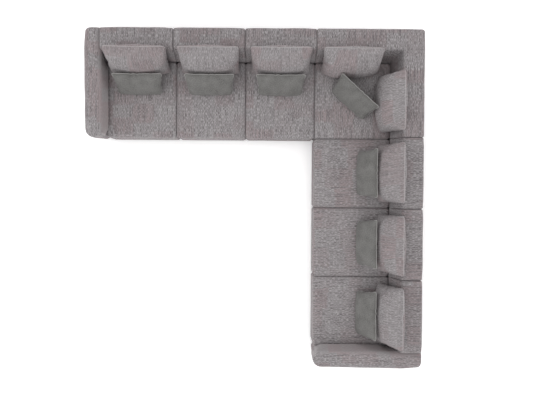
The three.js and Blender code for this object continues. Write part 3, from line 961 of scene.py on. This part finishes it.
def arm_slab(low, high, foot, sizes):
    """An arm's section drawn out to its length, its long edges rounded, and cut into cells."""
    width, swell = sizes.arm_width, high.x - low.x - sizes.arm_width
    section = [
        (0, low.z), (width, low.z), (width, foot),
        (width + swell + SWELL_EXTRA, foot + sizes.swell_rise), (width, high.z), (0, high.z),
    ]
    shape = bmesh.new()
    face = shape.faces.new([shape.verts.new((low.x + x, high.y, z)) for x, z in section])
    made = bmesh.ops.extrude_face_region(shape, geom=[face])["geom"]
    verts = [g for g in made if isinstance(g, bmesh.types.BMVert)]
    bmesh.ops.translate(shape, vec=(0, low.y - high.y, 0), verts=verts)
    bmesh.ops.recalc_face_normals(shape, faces=shape.faces)

    def on_swell(middle):
        edge_low, edge_high = SWELL_EDGE
        beyond = middle.x > low.x + width + SWELL_EXTRA
        return foot + edge_low < middle.z < foot + edge_high and beyond

    top = edges_along(shape, 1, lambda m: m.z > high.z - NEAR)
    round_edges(shape, top, sizes.arm_top_radius, ARM_TOP_SEGMENTS)
    round_edges(shape, edges_along(shape, 1, on_swell), sizes.swell_radius, SWELL_SEGMENTS)
    below = edges_along(shape, 1, lambda m: m.z < low.z + NEAR)
    round_edges(shape, below, sizes.base_radius, FOOT_SEGMENTS)

    cell = sizes.padding_cell * BROAD_CELLS
    turns = [math.pi / 2 * k / FRONT_CUTS for k in range(1, FRONT_CUTS)]
    cut_at(shape, 1, [low.y + sizes.arm_front_radius * (1 - math.cos(t)) for t in turns])
    cut_at(shape, 1, spread(low.y + sizes.arm_front_radius, high.y - ARM_REAR_MARGIN, cell))
    cut_at(shape, 1, [high.y - r for r in REAR_CUTS])
    cut_at(shape, 0, spread(low.x + ARM_SIDE_MARGIN, low.x + width - ARM_SIDE_MARGIN, cell))
    cut_at(shape, 2, spread(low.z + ARM_FOOT_MARGIN, high.z - sizes.arm_top_radius, cell))
    return shape


def arm(name, seed, sizes):
    """A padded arm: its top falls to a rounded front and its inner side swells over the seat."""
    low, high = local_box(name)
    foot = sizes.seat_top + SEAT_GAP
    shape = arm_slab(low, high, foot, sizes)
    width, edge = sizes.arm_width, high.x - low.x
    fall = (sizes.arm_rear_height - sizes.arm_front_height) / (high.z - foot)
    for vert in shape.verts:
        x, y, z = vert.co.x - low.x, vert.co.y, vert.co.z
        ahead, behind = y - low.y, high.y - y
        # The swell grows from the front and ends at the backrest
        if x > width and z < high.z - sizes.arm_top_radius:
            fade = 1 - smoothstep(sizes.swell_end - SWELL_FADE, sizes.swell_end, y)
            front = smoothstep(SWELL_START, sizes.swell_front, ahead)
            x = width + (x - width) * fade * front
        # The outer side is padded too
        if x < width / 2:
            ends = smoothstep(0, OUTER_FRONT, ahead) * smoothstep(0, OUTER_REAR, behind)
            x -= sizes.arm_outer_swell * ends * smoothstep(low.z, low.z + OUTER_RISE, z)
        # The inner part and the foot of the front lie behind the seat's front edge
        tuck = sizes.arm_setback * smoothstep(*SETBACK_ACROSS, x)
        tuck += sizes.arm_tuck * smoothstep(*TUCK_HEIGHTS, z)
        vert.co.y += tuck * smoothstep(TUCK_REACH, 0, ahead)
        # The top falls to the front
        if z > foot:
            z -= (z - foot) * fall * behind / (high.y - low.y)
        # The front turns in: wide at the outer side, tight at the inner side and at the top
        outer = turned_in(ahead, sizes.arm_front_radius)
        inner = turned_in(ahead, sizes.arm_inner_radius)
        back = turned_in(behind, sizes.arm_rear_radius)
        if y < sizes.swell_end:
            x = outer + back + x * (edge - outer - back - inner) / edge
        else:
            x = back + x * (width - back) / width
        if z > low.z + TURN_FOOT:
            share = (z - low.z - TURN_FOOT) / (high.z - low.z - TURN_FOOT)
            z -= inner * share + back * REAR_TURN_SHARE
        vert.co.x, vert.co.z = low.x + x, z
    ripple(
        shape, seed + ARM_PADDING, "arm",
        lambda co: smoothstep(low.z, low.z + ARM_FOOT_ZONE, co.z),
    )
    shape.normal_update()
    # Painted light: the inner side over the seat takes the smooth cloth that is painted lighter
    for face in shape.faces:
        middle = face.calc_center_median()
        inside = face.normal.x > INNER_SIDE and middle.x > low.x + width / 2
        if inside and middle.z > foot - INNER_SIDE_BELOW:
            face.material_index = 1
    add_piece(
        shape, f"{name}_cover", [name], ["chenille_arm", "chenille_side"],
        top=high.z, seed=seed + ARM_CLOTH,
    )


def turned_in(distance, radius):
    """How far a rounded edge has turned in, at a distance from the face that it turns to."""
    if distance >= radius:
        return 0.0
    return radius - math.sqrt(max(0.0, radius * radius - (radius - distance) ** 2))


# Loose cushions and pillows


def flat_form(panels, seam):
    """Two panels of cloth sewn along their edges, with a little filling between them."""
    width, height, cell = panels["width"], panels["height"], panels["cell"]
    shape = subdivided_cube((round(width / cell), 1, round(height / cell)))
    bmesh.ops.scale(shape, vec=(width / 2, seam / 2, height / 2), verts=shape.verts)
    shape.normal_update()
    layer = shape.loops.layers.uv.new(WEAVE_MAP)
    for face in shape.faces:
        shift = REAR_PANEL_SHIFT if face.normal.y > POINTING else 0.0
        for loop in face.loops:
            loop[layer].uv = (loop.vert.co.x + shift, loop.vert.co.z)
    return shape


def inflated(name, panels, seam):
    """The sewn panels filled by Blender's Cloth, so that they crease towards their
    seams."""
    shape = flat_form(panels, seam)
    flat = [vert.co.copy() for vert in shape.verts]
    mesh = bpy.data.meshes.new(name)
    shape.to_mesh(mesh)
    shape.free()
    return (filled(mesh, panels["volume"])), flat


def filled(mesh, volume):
    """The mesh as Blender's Cloth leaves it, when pressure has filled it to a volume."""
    scene = bpy.context.scene
    form = bpy.data.objects.new(mesh.name, mesh)
    scene.collection.objects.link(form)
    cloth = form.modifiers.new("Cloth", "CLOTH")
    for setting, value in CLOTH.items():
        setattr(cloth.settings, setting, value)
    cloth.settings.target_volume = volume
    cloth.settings.effector_weights.gravity = 0
    cloth.point_cache.frame_start = 1
    cloth.point_cache.frame_end = FILLING_FRAMES
    for step in range(1, FILLING_FRAMES + 1):
        scene.frame_set(step)
    graph = bpy.context.evaluated_depsgraph_get()
    result = bpy.data.meshes.new_from_object(form.evaluated_get(graph))
    bpy.data.objects.remove(form)
    scene.frame_set(1)
    return result


def squared_up(mesh, flat, panels, outline):
    """Draws the filled form's seams out to nearly straight lines, as the filling's corners do,
    and rounds its corners. Rounds of smoothing leave only its broader creases."""
    width, height, draw_in = panels["width"], panels["height"], outline["draw_in"]
    shape = bmesh.new()
    shape.from_mesh(mesh)
    for _ in range(outline["rounds"]):
        bmesh.ops.smooth_vert(
            shape, verts=shape.verts, factor=0.5,
            use_axis_x=True, use_axis_y=True, use_axis_z=True,
        )
    shape.to_mesh(mesh)
    shape.free()
    wide = [{}, {}]
    tall = [{}, {}]
    for vert, start in zip(mesh.vertices, flat):
        if abs(abs(start.x) - width / 2) < TOUCH:
            wide[start.x > 0][round(start.z, PLACE_DIGITS)] = abs(vert.co.x)
        if abs(abs(start.z) - height / 2) < TOUCH:
            tall[start.z > 0][round(start.x, PLACE_DIGITS)] = abs(vert.co.z)
    wide = [smoothed(line) for line in wide]
    tall = [smoothed(line) for line in tall]
    for vert, start in zip(mesh.vertices, flat):
        across, up = start.x * 2 / width, start.z * 2 / height
        x = vert.co.x / wide[start.x > 0][round(start.z, PLACE_DIGITS)]
        z = vert.co.z / tall[start.z > 0][round(start.x, PLACE_DIGITS)]
        x *= width / 2 * (1 - draw_in * (1 - up * up))
        z *= height / 2 * (1 - draw_in * (1 - across * across))
        corner = outline["top_corner"] if z > 0 else outline["foot_corner"]
        over_x = (abs(x) - width / 2 + corner) / corner
        over_z = (abs(z) - height / 2 + corner) / corner
        if over_x > 0 and over_z > 0:
            pull = max(over_x, over_z) / math.hypot(over_x, over_z)
            x -= math.copysign(corner * over_x * (1 - pull), x)
            z -= math.copysign(corner * over_z * (1 - pull), z)
        vert.co.x, vert.co.z = x, z


def smoothed(line, reach=4):
    """A run of values by place, each the mean of its neighbours."""
    places = sorted(line)
    values = [line[place] for place in places]
    means = {}
    for k, place in enumerate(places):
        near = values[max(0, k - reach) : k + reach + 1]
        means[place] = sum(near) / len(near)
    return means


def box_of(shape):
    """The lowest and the highest place of a shape along each axis."""
    places = [vert.co for vert in shape.verts]
    low = [min(place[axis] for place in places) for axis in range(3)]
    high = [max(place[axis] for place in places) for axis in range(3)]
    return low, high


def fitted(shape, width, height, front, rear, seam):
    """Scales a filled form to its width, height and the crowns of its two sides."""
    low, high = box_of(shape)
    size = [high[axis] - low[axis] for axis in range(3)]
    centre = [(high[axis] + low[axis]) / 2 for axis in range(3)]
    for vert in shape.verts:
        x = (vert.co.x - centre[0]) * width / size[0]
        z = (vert.co.z - centre[2]) * height / size[2]
        y = (vert.co.y - centre[1]) * 2 / size[1]
        vert.co = Vector((x, y * ((front if y < 0 else rear) + seam / 2), z))


def leaning(lean, turn=0.0):
    """Leant back by an angle, then turned about the upright."""
    return Matrix.Rotation(turn, 4, "Z") @ Matrix.Rotation(-lean, 4, "X")


def settle(shape, matrix, low, high):
    """Turns a form and puts it in the CAD solid's box, with its foot and rear on the box's own."""
    bmesh.ops.transform(shape, matrix=matrix, verts=shape.verts)
    own_low, own_high = [Vector(corner) for corner in box_of(shape)]
    shift = (low + high) / 2 - (own_low + own_high) / 2
    shift.z = low.z - own_low.z
    bmesh.ops.translate(shape, vec=shift, verts=shape.verts)


def rest_against(piece, neighbours, gap=0.0015, reach=0.03):
    """Presses a loose piece flat where it lies on or leans against firmer pieces."""
    surfaces = []
    for name in neighbours:
        firm = bpy.data.objects[name].data
        surfaces.append(BVHTree.FromPolygons(
            [v.co for v in firm.vertices], [p.vertices[:] for p in firm.polygons]
        ))
    for vert in piece.data.vertices:
        for surface in surfaces:
            place, normal, _, away = surface.find_nearest(vert.co)
            outside = (vert.co - place).dot(normal)
            if outside < gap and away < reach:
                vert.co = place + normal * gap


def arm_beside(module):
    """The cover of the arm beside an end module, and nothing for any other."""
    return [f"{module[:-2]}_arm_cover"] if module.endswith("_3") else []


def loose_form(form, mirror):
    """A copy of a filled form, mirrored for every other piece."""
    shape = bmesh.new()
    shape.from_mesh(form)
    if mirror:
        bmesh.ops.scale(shape, vec=(-1, 1, 1), verts=shape.verts)
        bmesh.ops.reverse_faces(shape, faces=shape.faces)
    return shape


def back_cushion(name, form, strip, mirror, seed, sizes, near):
    """A loose feather-filled back cushion, resting on the seat and against the backrest."""
    low, high = local_box(name)
    shape = loose_form(form, mirror)
    # Painted highlight: the band between the panels takes the cloth painted paler, a light line along
    # the cushion's edges
    for face in shape.faces:
        face.material_index = int(face.index in strip)
    fitted(
        shape, high.x - low.x, sizes.cushion_height,
        sizes.cushion_front, sizes.cushion_rear, sizes.cushion_seam,
    )
    ripple(shape, seed, "back_cushion")
    settle(shape, leaning(sizes.cushion_lean), low, high)
    shift_weave(shape, seed)
    piece = add_piece(
        shape, f"{name}_cover", [name], ["chenille_cushion", "chenille_seam"],
        body=name,
    )
    rest_against(piece, near)
    subdivided(piece)


def lumbar_pillow(name, form, strip, mirror, turn, seed, sizes, near):
    """A small loose pillow with piped edges, leaning on the cushion behind it."""
    low, high = local_box(name)
    shape = loose_form(form, mirror)
    for vert in shape.verts:
        vert.co.x *= 1 - sizes.pillow_taper * smoothstep(TAPER_REACH, -TAPER_REACH, vert.co.z)
    fitted(
        shape, sizes.pillow_width, sizes.pillow_height,
        sizes.pillow_front, sizes.pillow_rear, sizes.pillow_seam,
    )
    ripple(shape, seed, "lumbar_pillow")
    add_piping(shape, strip, sizes)
    settle(shape, leaning(sizes.pillow_lean, turn), low, high)
    shift_weave(shape, seed)
    piece = add_piece(
        shape, f"{name}_cover", [name], ["plain_weave", "piping"],
        body=name,
    )
    rest_against(piece, near)
    subdivided(piece)


def shift_weave(shape, seed):
    """Moves a loose piece's own weave map to where its cloth is cut from."""
    layer = shape.loops.layers.uv[WEAVE_MAP]
    start = weave_start(seed)
    for face in shape.faces:
        for loop in face.loops:
            loop[layer].uv += start


def subdivided(piece):
    """Lets Blender round the facets of a loose piece off."""
    finer = piece.modifiers.new("Subdivision", "SUBSURF")
    finer.levels = finer.render_levels = 1


def seam_places(shape, strip):
    """The middle of the narrow band between two panels, place by place all round."""
    band = {f for f in shape.faces if f.index in strip}
    rungs = {e for f in band for e in f.edges if all(g in band for g in e.link_faces)}
    rung = min(rungs, key=lambda e: (round(e.verts[0].co.z, 5), e.verts[0].co.x))
    middles, seen = [], set()
    while rung is not None:
        seen.add(rung)
        middles.append((rung.verts[0].co + rung.verts[1].co) / 2)
        beside = [f for f in rung.link_faces if f in band]
        ahead = [e for f in beside for e in f.edges if e in rungs and e not in seen]
        rung = ahead[0] if ahead else None
    return middles


def add_piping(shape, strip, sizes):
    """A cord in bias cloth sewn all round the edge between the two panels."""
    middles = seam_places(shape, strip)
    centre = sum(middles, Vector()) / len(middles)
    count = len(middles)
    rings = []
    for k, point in enumerate(middles):
        # The filling stretches the panels over the cord, except along the top
        proud = smoothstep(*PIPING_HEIGHTS, point.z - centre.z)
        radius = sizes.piping_radius * (PIPING_LEAST + (1 - PIPING_LEAST) * proud)
        along = (middles[(k + 1) % count] - middles[k - 1]).normalized()
        out = point - centre
        out = (out - along * out.dot(along)).normalized()
        up = along.cross(out)
        ring = []
        for side in range(PIPING_SIDES):
            angle = 2 * math.pi * side / PIPING_SIDES
            round_cord = (out * math.cos(angle) + up * math.sin(angle)) * radius
            ring.append(shape.verts.new(point + out * radius * proud + round_cord))
        pairs = zip(ring, ring[1:] + ring[:1])
        rings.append([shape.edges.new(pair) for pair in pairs])
    made = []
    for k in range(count):
        made += bmesh.ops.bridge_loops(shape, edges=rings[k - 1] + rings[k])["faces"]
    for face in made:
        face.material_index = 1
    bmesh.ops.recalc_face_normals(shape, faces=made)


# Sizes and colours that a user may change


def metres(name, text, value):
    """A length that a user may change."""
    return FloatProperty(
        name=name, description=text, default=value, min=0, unit="LENGTH", precision=4
    )


def degrees(name, text, value):
    """An angle that a user may change, given in degrees."""
    return FloatProperty(
        name=name, description=text, default=math.radians(value), subtype="ANGLE"
    )


def tone(name, text, code):
    """A colour that a user may change, given as an sRGB hex value."""
    return FloatVectorProperty(
        name=name, description=text, default=srgb(code), size=4, min=0, max=1, subtype="COLOR"
    )


class SofaSizes(bpy.types.PropertyGroup):
    padding_cell: metres("Padding cell", "Width of a cell of the padded surfaces", 0.014)
    edge_segments: IntProperty(name="Edge segments", description="Steps of a rounded edge", default=5)
    seam_reach: metres("Seam reach", "How far a seam draws the cloth in beside it", 0.007)
    seam_depth: metres("Seam depth", "How deep a seam lies", 0.003)
    base_radius: metres("Base edge", "Rounding of the wrapped base", 0.012)
    base_plan_radius: metres("Base corner", "Plan rounding of the wrapped base", 0.028)
    seat_plan_radius: metres("Seat corner", "Plan rounding of a seat cushion", 0.032)
    cover_margin: metres("Cover margin", "Cloth turned under the base before the dust cover", 0.03)
    cushion_side: metres("Cushion side", "Side height of a seat cushion", 0.154)
    seat_top: metres("Seat top", "Height of the seat above the floor", 0.4299)
    seat_crown: metres("Seat crown", "Rise of the seat's middle over its edges", 0.016)
    seat_radius: metres("Seat edge", "Rounding of a seat cushion", 0.022)
    seat_fullness: FloatProperty(name="Seat fullness", description="How flat the crown is", default=4.0)
    backrest_foot: metres("Backrest foot", "Depth of the backrest at the seat", 0.2797)
    backrest_top: metres("Backrest top", "Depth of the backrest at its top", 0.205)
    backrest_radius: metres("Backrest edge", "Rounding of the backrest's top", 0.032)
    end_radius: metres("Backrest end", "Rounding where two modules meet", 0.014)
    end_dip: metres("Backrest end dip", "How far the padding draws in at a module's end", 0.005)
    inner_edge_radius: metres("Inner edge", "Rounding of the corner backrest over the seat", 0.016)
    corner_radius: metres("Outer corner", "Plan rounding of the corner backrest", 0.03)
    arm_width: metres("Arm width", "Thickness of an arm", 0.14985)
    arm_rear_height: metres("Arm rear", "Height of the arm at the rear, over its foot", 0.65)
    arm_front_height: metres("Arm front", "Height of the arm at the front, over its foot", 0.58)
    arm_top_radius: metres("Arm top", "Rounding of the arm's top", 0.048)
    swell_radius: metres("Swell radius", "Rounding of an arm's swell", 0.014)
    arm_front_radius: metres("Arm front corner", "Plan rounding of the arm's outer front", 0.065)
    swell_front: metres("Swell front", "Length over which an arm's swell grows from the front", 0.09)
    swell_rise: metres("Swell rise", "Height above the seat where an arm's swell is widest", 0.045)
    arm_setback: metres("Arm setback", "How far the inner part of an arm's front lies back", 0.028)
    arm_tuck: metres("Arm tuck", "How far the foot of an arm's front lies back", 0.019)
    arm_outer_swell: metres("Outer swell", "Padding on the outer side of an arm", 0.012)
    arm_rear_radius: metres("Arm rear radius", "Rounding of an arm's rear outer edge", 0.04)
    arm_inner_radius: metres("Arm inner corner", "Rounding of the arm's other front edges", 0.03)
    swell_end: metres("Swell end", "Where the arm's swell ends, at the backrest", 1.3772)
    cushion_height: metres("Cushion height", "Height of a back cushion", 0.48)
    cushion_front: metres("Cushion front", "Crown of a back cushion's front", 0.124)
    cushion_rear: metres("Cushion rear", "Crown of a back cushion's rear", 0.062)
    cushion_seam: metres("Cushion seam", "Thickness of a back cushion at its seams", 0.012)
    cushion_lean: degrees("Cushion lean", "How far a back cushion leans back", 20)
    pillow_width: metres("Pillow width", "Width of a lumbar pillow", 0.472)
    pillow_height: metres("Pillow height", "Height of a lumbar pillow", 0.30)
    pillow_front: metres("Pillow front", "Crown of a pillow's front", 0.058)
    pillow_rear: metres("Pillow rear", "Crown of a pillow's rear", 0.05)
    pillow_seam: metres("Pillow seam", "Thickness of a pillow at its seams", 0.008)
    pillow_taper: FloatProperty(
        name="Pillow taper", description="How much narrower a pillow's foot is", default=0.06
    )
    pillow_lean: degrees("Pillow lean", "How far a pillow leans back", 32)
    piping_radius: metres("Piping radius", "Radius of the piping round a pillow", 0.004)


class SofaColours(bpy.types.PropertyGroup):
    ground: tone("Ground", "Main yarn of the sofa's cloth", "908c8d")
    rose: tone("Rose", "Dusty rose dye of the sofa's cloth", "938586")
    shade: tone("Shade", "Darker yarn between the main ones", "686264")
    fleck: tone("Fleck", "Pale slubs", "d9d5d6")
    pillow: tone("Pillow", "Main thread of the pillow cloth", "777674")
    pillow_shade: tone("Pillow shade", "Darker thread of the pillow cloth", "575654")
    pillow_light: tone("Pillow light", "Lighter thread of the pillow cloth", "969593")
    # Painted highlight: paler than the pillow's cloth, for the light line that the piping's edge
    # catches
    piping: tone("Piping", "Cloth of the piping", "b0afac")
    floor: tone("Floor", "Studio floor", "fdfdfd")


class SOFA_OT_stage(bpy.types.Operator):
    """Makes the camera, the lamps, the world and the floor"""

    bl_idname = "sofa.stage"
    bl_label = "Stage"

    def execute(self, context):
        make_camera()
        make_light()
        make_floor()
        return {"FINISHED"}


class SOFA_OT_plinths(bpy.types.Operator):
    """Finishes the seven recessed plinths"""

    bl_idname = "sofa.plinths"
    bl_label = "Plinths"

    def execute(self, context):
        finish_nodes([f"{m}_plinth" for m in MODULES], "timber")
        return {"FINISHED"}


class SOFA_OT_base_frames(bpy.types.Operator):
    """Wraps the seven base frames in cloth"""

    bl_idname = "sofa.base_frames"
    bl_label = "Base frames"

    def execute(self, context):
        sizes = context.scene.sofa_sizes
        for seed, module in enumerate(MODULES):
            base_frame(module, seed, sizes)
        return {"FINISHED"}


class SOFA_OT_webbing_decks(bpy.types.Operator):
    """Finishes the webbing that carries the seat cushions"""

    bl_idname = "sofa.webbing_decks"
    bl_label = "Webbing decks"

    def execute(self, context):
        finish_nodes([f"{m}_webbing_deck" for m in MODULES], "webbing")
        return {"FINISHED"}


class SOFA_OT_fittings(bpy.types.Operator):
    """Finishes the steel connectors and arm brackets"""

    bl_idname = "sofa.fittings"
    bl_label = "Fittings"

    def execute(self, context):
        rows = ("back_row", "side_row")
        finish_nodes([f"{row}_connector_{k}" for row in rows for k in (1, 2, 3)], "zinc")
        finish_nodes([f"{row}_arm_bracket" for row in rows], "zinc")
        return {"FINISHED"}


class SOFA_OT_seat_cushions(bpy.types.Operator):
    """Makes the seven seat cushions"""

    bl_idname = "sofa.seat_cushions"
    bl_label = "Seat cushions"

    def execute(self, context):
        sizes = context.scene.sofa_sizes
        for seed, module in enumerate(MODULES):
            seat_cushion(module, seed, sizes)
        return {"FINISHED"}


class SOFA_OT_backrests(bpy.types.Operator):
    """Makes the six straight backrests and the corner one"""

    bl_idname = "sofa.backrests"
    bl_label = "Backrests"

    def execute(self, context):
        sizes = context.scene.sofa_sizes
        for seed, module in enumerate(SEATS):
            straight_backrest(module, seed, sizes)
        corner_backrest(len(SEATS), sizes)
        return {"FINISHED"}


class SOFA_OT_arms(bpy.types.Operator):
    """Makes the two arms"""

    bl_idname = "sofa.arms"
    bl_label = "Arms"

    def execute(self, context):
        sizes = context.scene.sofa_sizes
        for seed, name in enumerate(("back_row_arm", "side_row_arm")):
            arm(name, seed, sizes)
        return {"FINISHED"}


class SOFA_OT_back_cushions(bpy.types.Operator):
    """Makes the eight loose back cushions"""

    bl_idname = "sofa.back_cushions"
    bl_label = "Back cushions"

    def execute(self, context):
        sizes = context.scene.sofa_sizes
        form, flat = inflated("back_cushion_form", CUSHION_PANELS, sizes.cushion_seam)
        squared_up(form, flat, CUSHION_PANELS, CUSHION_OUTLINE)
        strip = strip_indices(form)
        loose = [(seat, f"{seat}_back_cushion") for seat in SEATS]
        loose += [("corner", f"corner_{side}_back_cushion") for side in ("rear", "side")]
        for seed, (module, name) in enumerate(loose):
            near = [f"{module}_seat_cover", f"{module}_backrest_cover", *arm_beside(module)]
            if name == "corner_side_back_cushion":
                near.append("corner_rear_back_cushion_cover")
            back_cushion(name, form, strip, seed % 2 == 1, seed, sizes, near)
        return {"FINISHED"}


class SOFA_OT_lumbar_pillows(bpy.types.Operator):
    """Makes the seven loose lumbar pillows"""

    bl_idname = "sofa.lumbar_pillows"
    bl_label = "Lumbar pillows"

    def execute(self, context):
        sizes = context.scene.sofa_sizes
        form, flat = inflated("lumbar_pillow_form", PILLOW_PANELS, sizes.pillow_seam)
        squared_up(form, flat, PILLOW_PANELS, PILLOW_OUTLINE)
        strip = strip_indices(form)
        for seed, seat in enumerate(SEATS):
            name = f"{seat}_lumbar_pillow"
            near = [f"{seat}_seat_cover", f"{seat}_back_cushion_cover", *arm_beside(seat)]
            lumbar_pillow(name, form, strip, seed % 2 == 0, 0.0, seed, sizes, near)
        near = ["corner_seat_cover"]
        near += [f"corner_{side}_back_cushion_cover" for side in ("rear", "side")]
        lumbar_pillow(
            "corner_lumbar_pillow", form, strip, False, math.radians(CORNER_PILLOW_TURN),
            CORNER_PILLOW_SEED, sizes, near,
        )
        return {"FINISHED"}


def strip_indices(mesh):
    """The faces of the narrow band between the panels: their map has no height or no width."""
    layer = mesh.uv_layers[WEAVE_MAP].data
    found = set()
    for polygon in mesh.polygons:
        uvs = [layer[k].uv for k in polygon.loop_indices]
        wide = max(u.x for u in uvs) - min(u.x for u in uvs)
        tall = max(u.y for u in uvs) - min(u.y for u in uvs)
        if min(wide, tall) < TOUCH:
            found.add(polygon.index)
    return found


STEPS = (
    SOFA_OT_stage,
    SOFA_OT_plinths,
    SOFA_OT_base_frames,
    SOFA_OT_webbing_decks,
    SOFA_OT_fittings,
    SOFA_OT_seat_cushions,
    SOFA_OT_backrests,
    SOFA_OT_arms,
    SOFA_OT_back_cushions,
    SOFA_OT_lumbar_pillows,
)


class SOFA_PT_panel(bpy.types.Panel):
    """Sizes, colours and steps of the sofa"""

    bl_idname = "SOFA_PT_panel"
    bl_label = "Modular corner sofa"
    bl_space_type = "VIEW_3D"
    bl_region_type = "UI"
    bl_category = "Sofa"

    def draw(self, context):
        for group in (context.scene.sofa_sizes, context.scene.sofa_colours):
            for name in group.bl_rna.properties.keys():
                if name not in ("rna_type", "name"):
                    self.layout.prop(group, name)
        for step in STEPS:
            self.layout.operator(step.bl_idname)


# The stage


def make_camera():
    """The photograph looks straight down, with a hair's tilt and roll."""
    data = bpy.data.cameras.new("photo_camera")
    data.sensor_width = SENSOR_WIDTH
    data.lens = FOCAL_PIXELS / PHOTO_WIDTH * SENSOR_WIDTH
    data.clip_end = CAMERA_REACH
    camera = bpy.data.objects.new("photo_camera", data)
    to_camera = (
        Matrix.Rotation(CAMERA_TILT_X, 4, "X")
        @ Matrix.Rotation(CAMERA_TILT_Y, 4, "Y")
        @ Matrix.Rotation(CAMERA_ROLL, 4, "Z")
    )
    camera.matrix_world = Matrix.Translation(CAMERA_PLACE) @ to_camera.transposed()
    bpy.context.scene.collection.objects.link(camera)
    bpy.context.scene.camera = camera


def make_light():
    """Soft light from all round, a broad lamp high up that gives the forms their shade, and a
    weaker low one on each side."""
    scene = bpy.context.scene
    scene.view_settings.view_transform = "Standard"
    world = bpy.data.worlds.new("studio")
    world.use_nodes = True
    tree = world.node_tree
    tree.nodes.clear()
    camera_ray = add_node(tree, "LightPath", out="Is Camera Ray")
    glossy_ray = add_node(tree, "LightPath", out="Is Glossy Ray")
    clear_ray = add_node(tree, "LightPath", out="Is Transmission Ray")
    mirrored = add_node(tree, "Math", {0: glossy_ray, 1: clear_ray}, operation="MAXIMUM")
    seen = add_node(tree, "Math", {0: camera_ray, 1: mirrored}, operation="MAXIMUM")
    ambient = add_node(tree, "Background", {"Color": (1, 1, 1, 1), "Strength": AMBIENT})
    white = add_node(tree, "Background", {"Color": (1, 1, 1, 1), "Strength": 1.0})
    both = add_node(tree, "MixShader", {0: seen, 1: ambient, 2: white})
    add_node(tree, "OutputWorld", {"Surface": both})
    scene.world = world
    add_lamp("key_softbox", KEY_STRENGTH, KEY_SPREAD, KEY_BEARING, KEY_HEIGHT)
    for side in range(SIDE_LAMPS):
        bearing = 360 / SIDE_LAMPS * side
        add_lamp(f"side_softbox_{side + 1}", SIDE_STRENGTH, SIDE_SPREAD, bearing, SIDE_HEIGHT)


def add_lamp(name, strength, spread, bearing, height):
    """A broad far lamp. Its bearing is 0 in front of the back row, and grows towards +X."""
    lamp = bpy.data.lights.new(name, "SUN")
    lamp.energy = strength
    lamp.angle = math.radians(spread)
    softbox = bpy.data.objects.new(name, lamp)
    softbox.rotation_euler = (math.radians(90 - height), 0, math.radians(bearing))
    bpy.context.scene.collection.objects.link(softbox)


def make_floor():
    """A plain white floor that keeps the sofa's shadow."""
    shape = bmesh.new()
    bmesh.ops.create_grid(shape, x_segments=1, y_segments=1, size=FLOOR_SIZE)
    mesh = bpy.data.meshes.new("studio_floor")
    shape.to_mesh(mesh)
    shape.free()
    floor = bpy.data.objects.new("studio_floor", mesh)
    bpy.context.scene.collection.objects.link(floor)
    material, tree = new_material("matt_white_studio_floor")
    colour = bpy.context.scene.sofa_colours.floor
    camera_ray = add_node(tree, "LightPath", out="Is Camera Ray")
    gain = add_node(tree, "MapRange", {0: camera_ray, 3: 1.0, 4: FLOOR_GAIN})
    shown = add_node(tree, "VectorMath", {0: colour[:3], "Scale": gain}, operation="SCALE")
    matt = add_node(tree, "BsdfDiffuse", {"Color": shown, "Roughness": 1.0})
    add_node(tree, "OutputMaterial", {"Surface": matt})
    mesh.materials.append(material)


CLASSES = (SofaSizes, SofaColours, *STEPS, SOFA_PT_panel)


def register():
    for item in CLASSES:
        bpy.utils.register_class(item)
    bpy.types.Scene.sofa_sizes = PointerProperty(type=SofaSizes)
    bpy.types.Scene.sofa_colours = PointerProperty(type=SofaColours)


def unregister():
    del bpy.types.Scene.sofa_colours
    del bpy.types.Scene.sofa_sizes
    for item in reversed(CLASSES):
        bpy.utils.unregister_class(item)


def main():
    register()
    bpy.ops.sofa.stage()
    bpy.ops.sofa.plinths()
    bpy.ops.sofa.base_frames()
    bpy.ops.sofa.webbing_decks()
    bpy.ops.sofa.fittings()
    bpy.ops.sofa.seat_cushions()
    bpy.ops.sofa.backrests()
    bpy.ops.sofa.arms()
    bpy.ops.sofa.back_cushions()
    bpy.ops.sofa.lumbar_pillows()


if __name__ == "__main__":
    main()
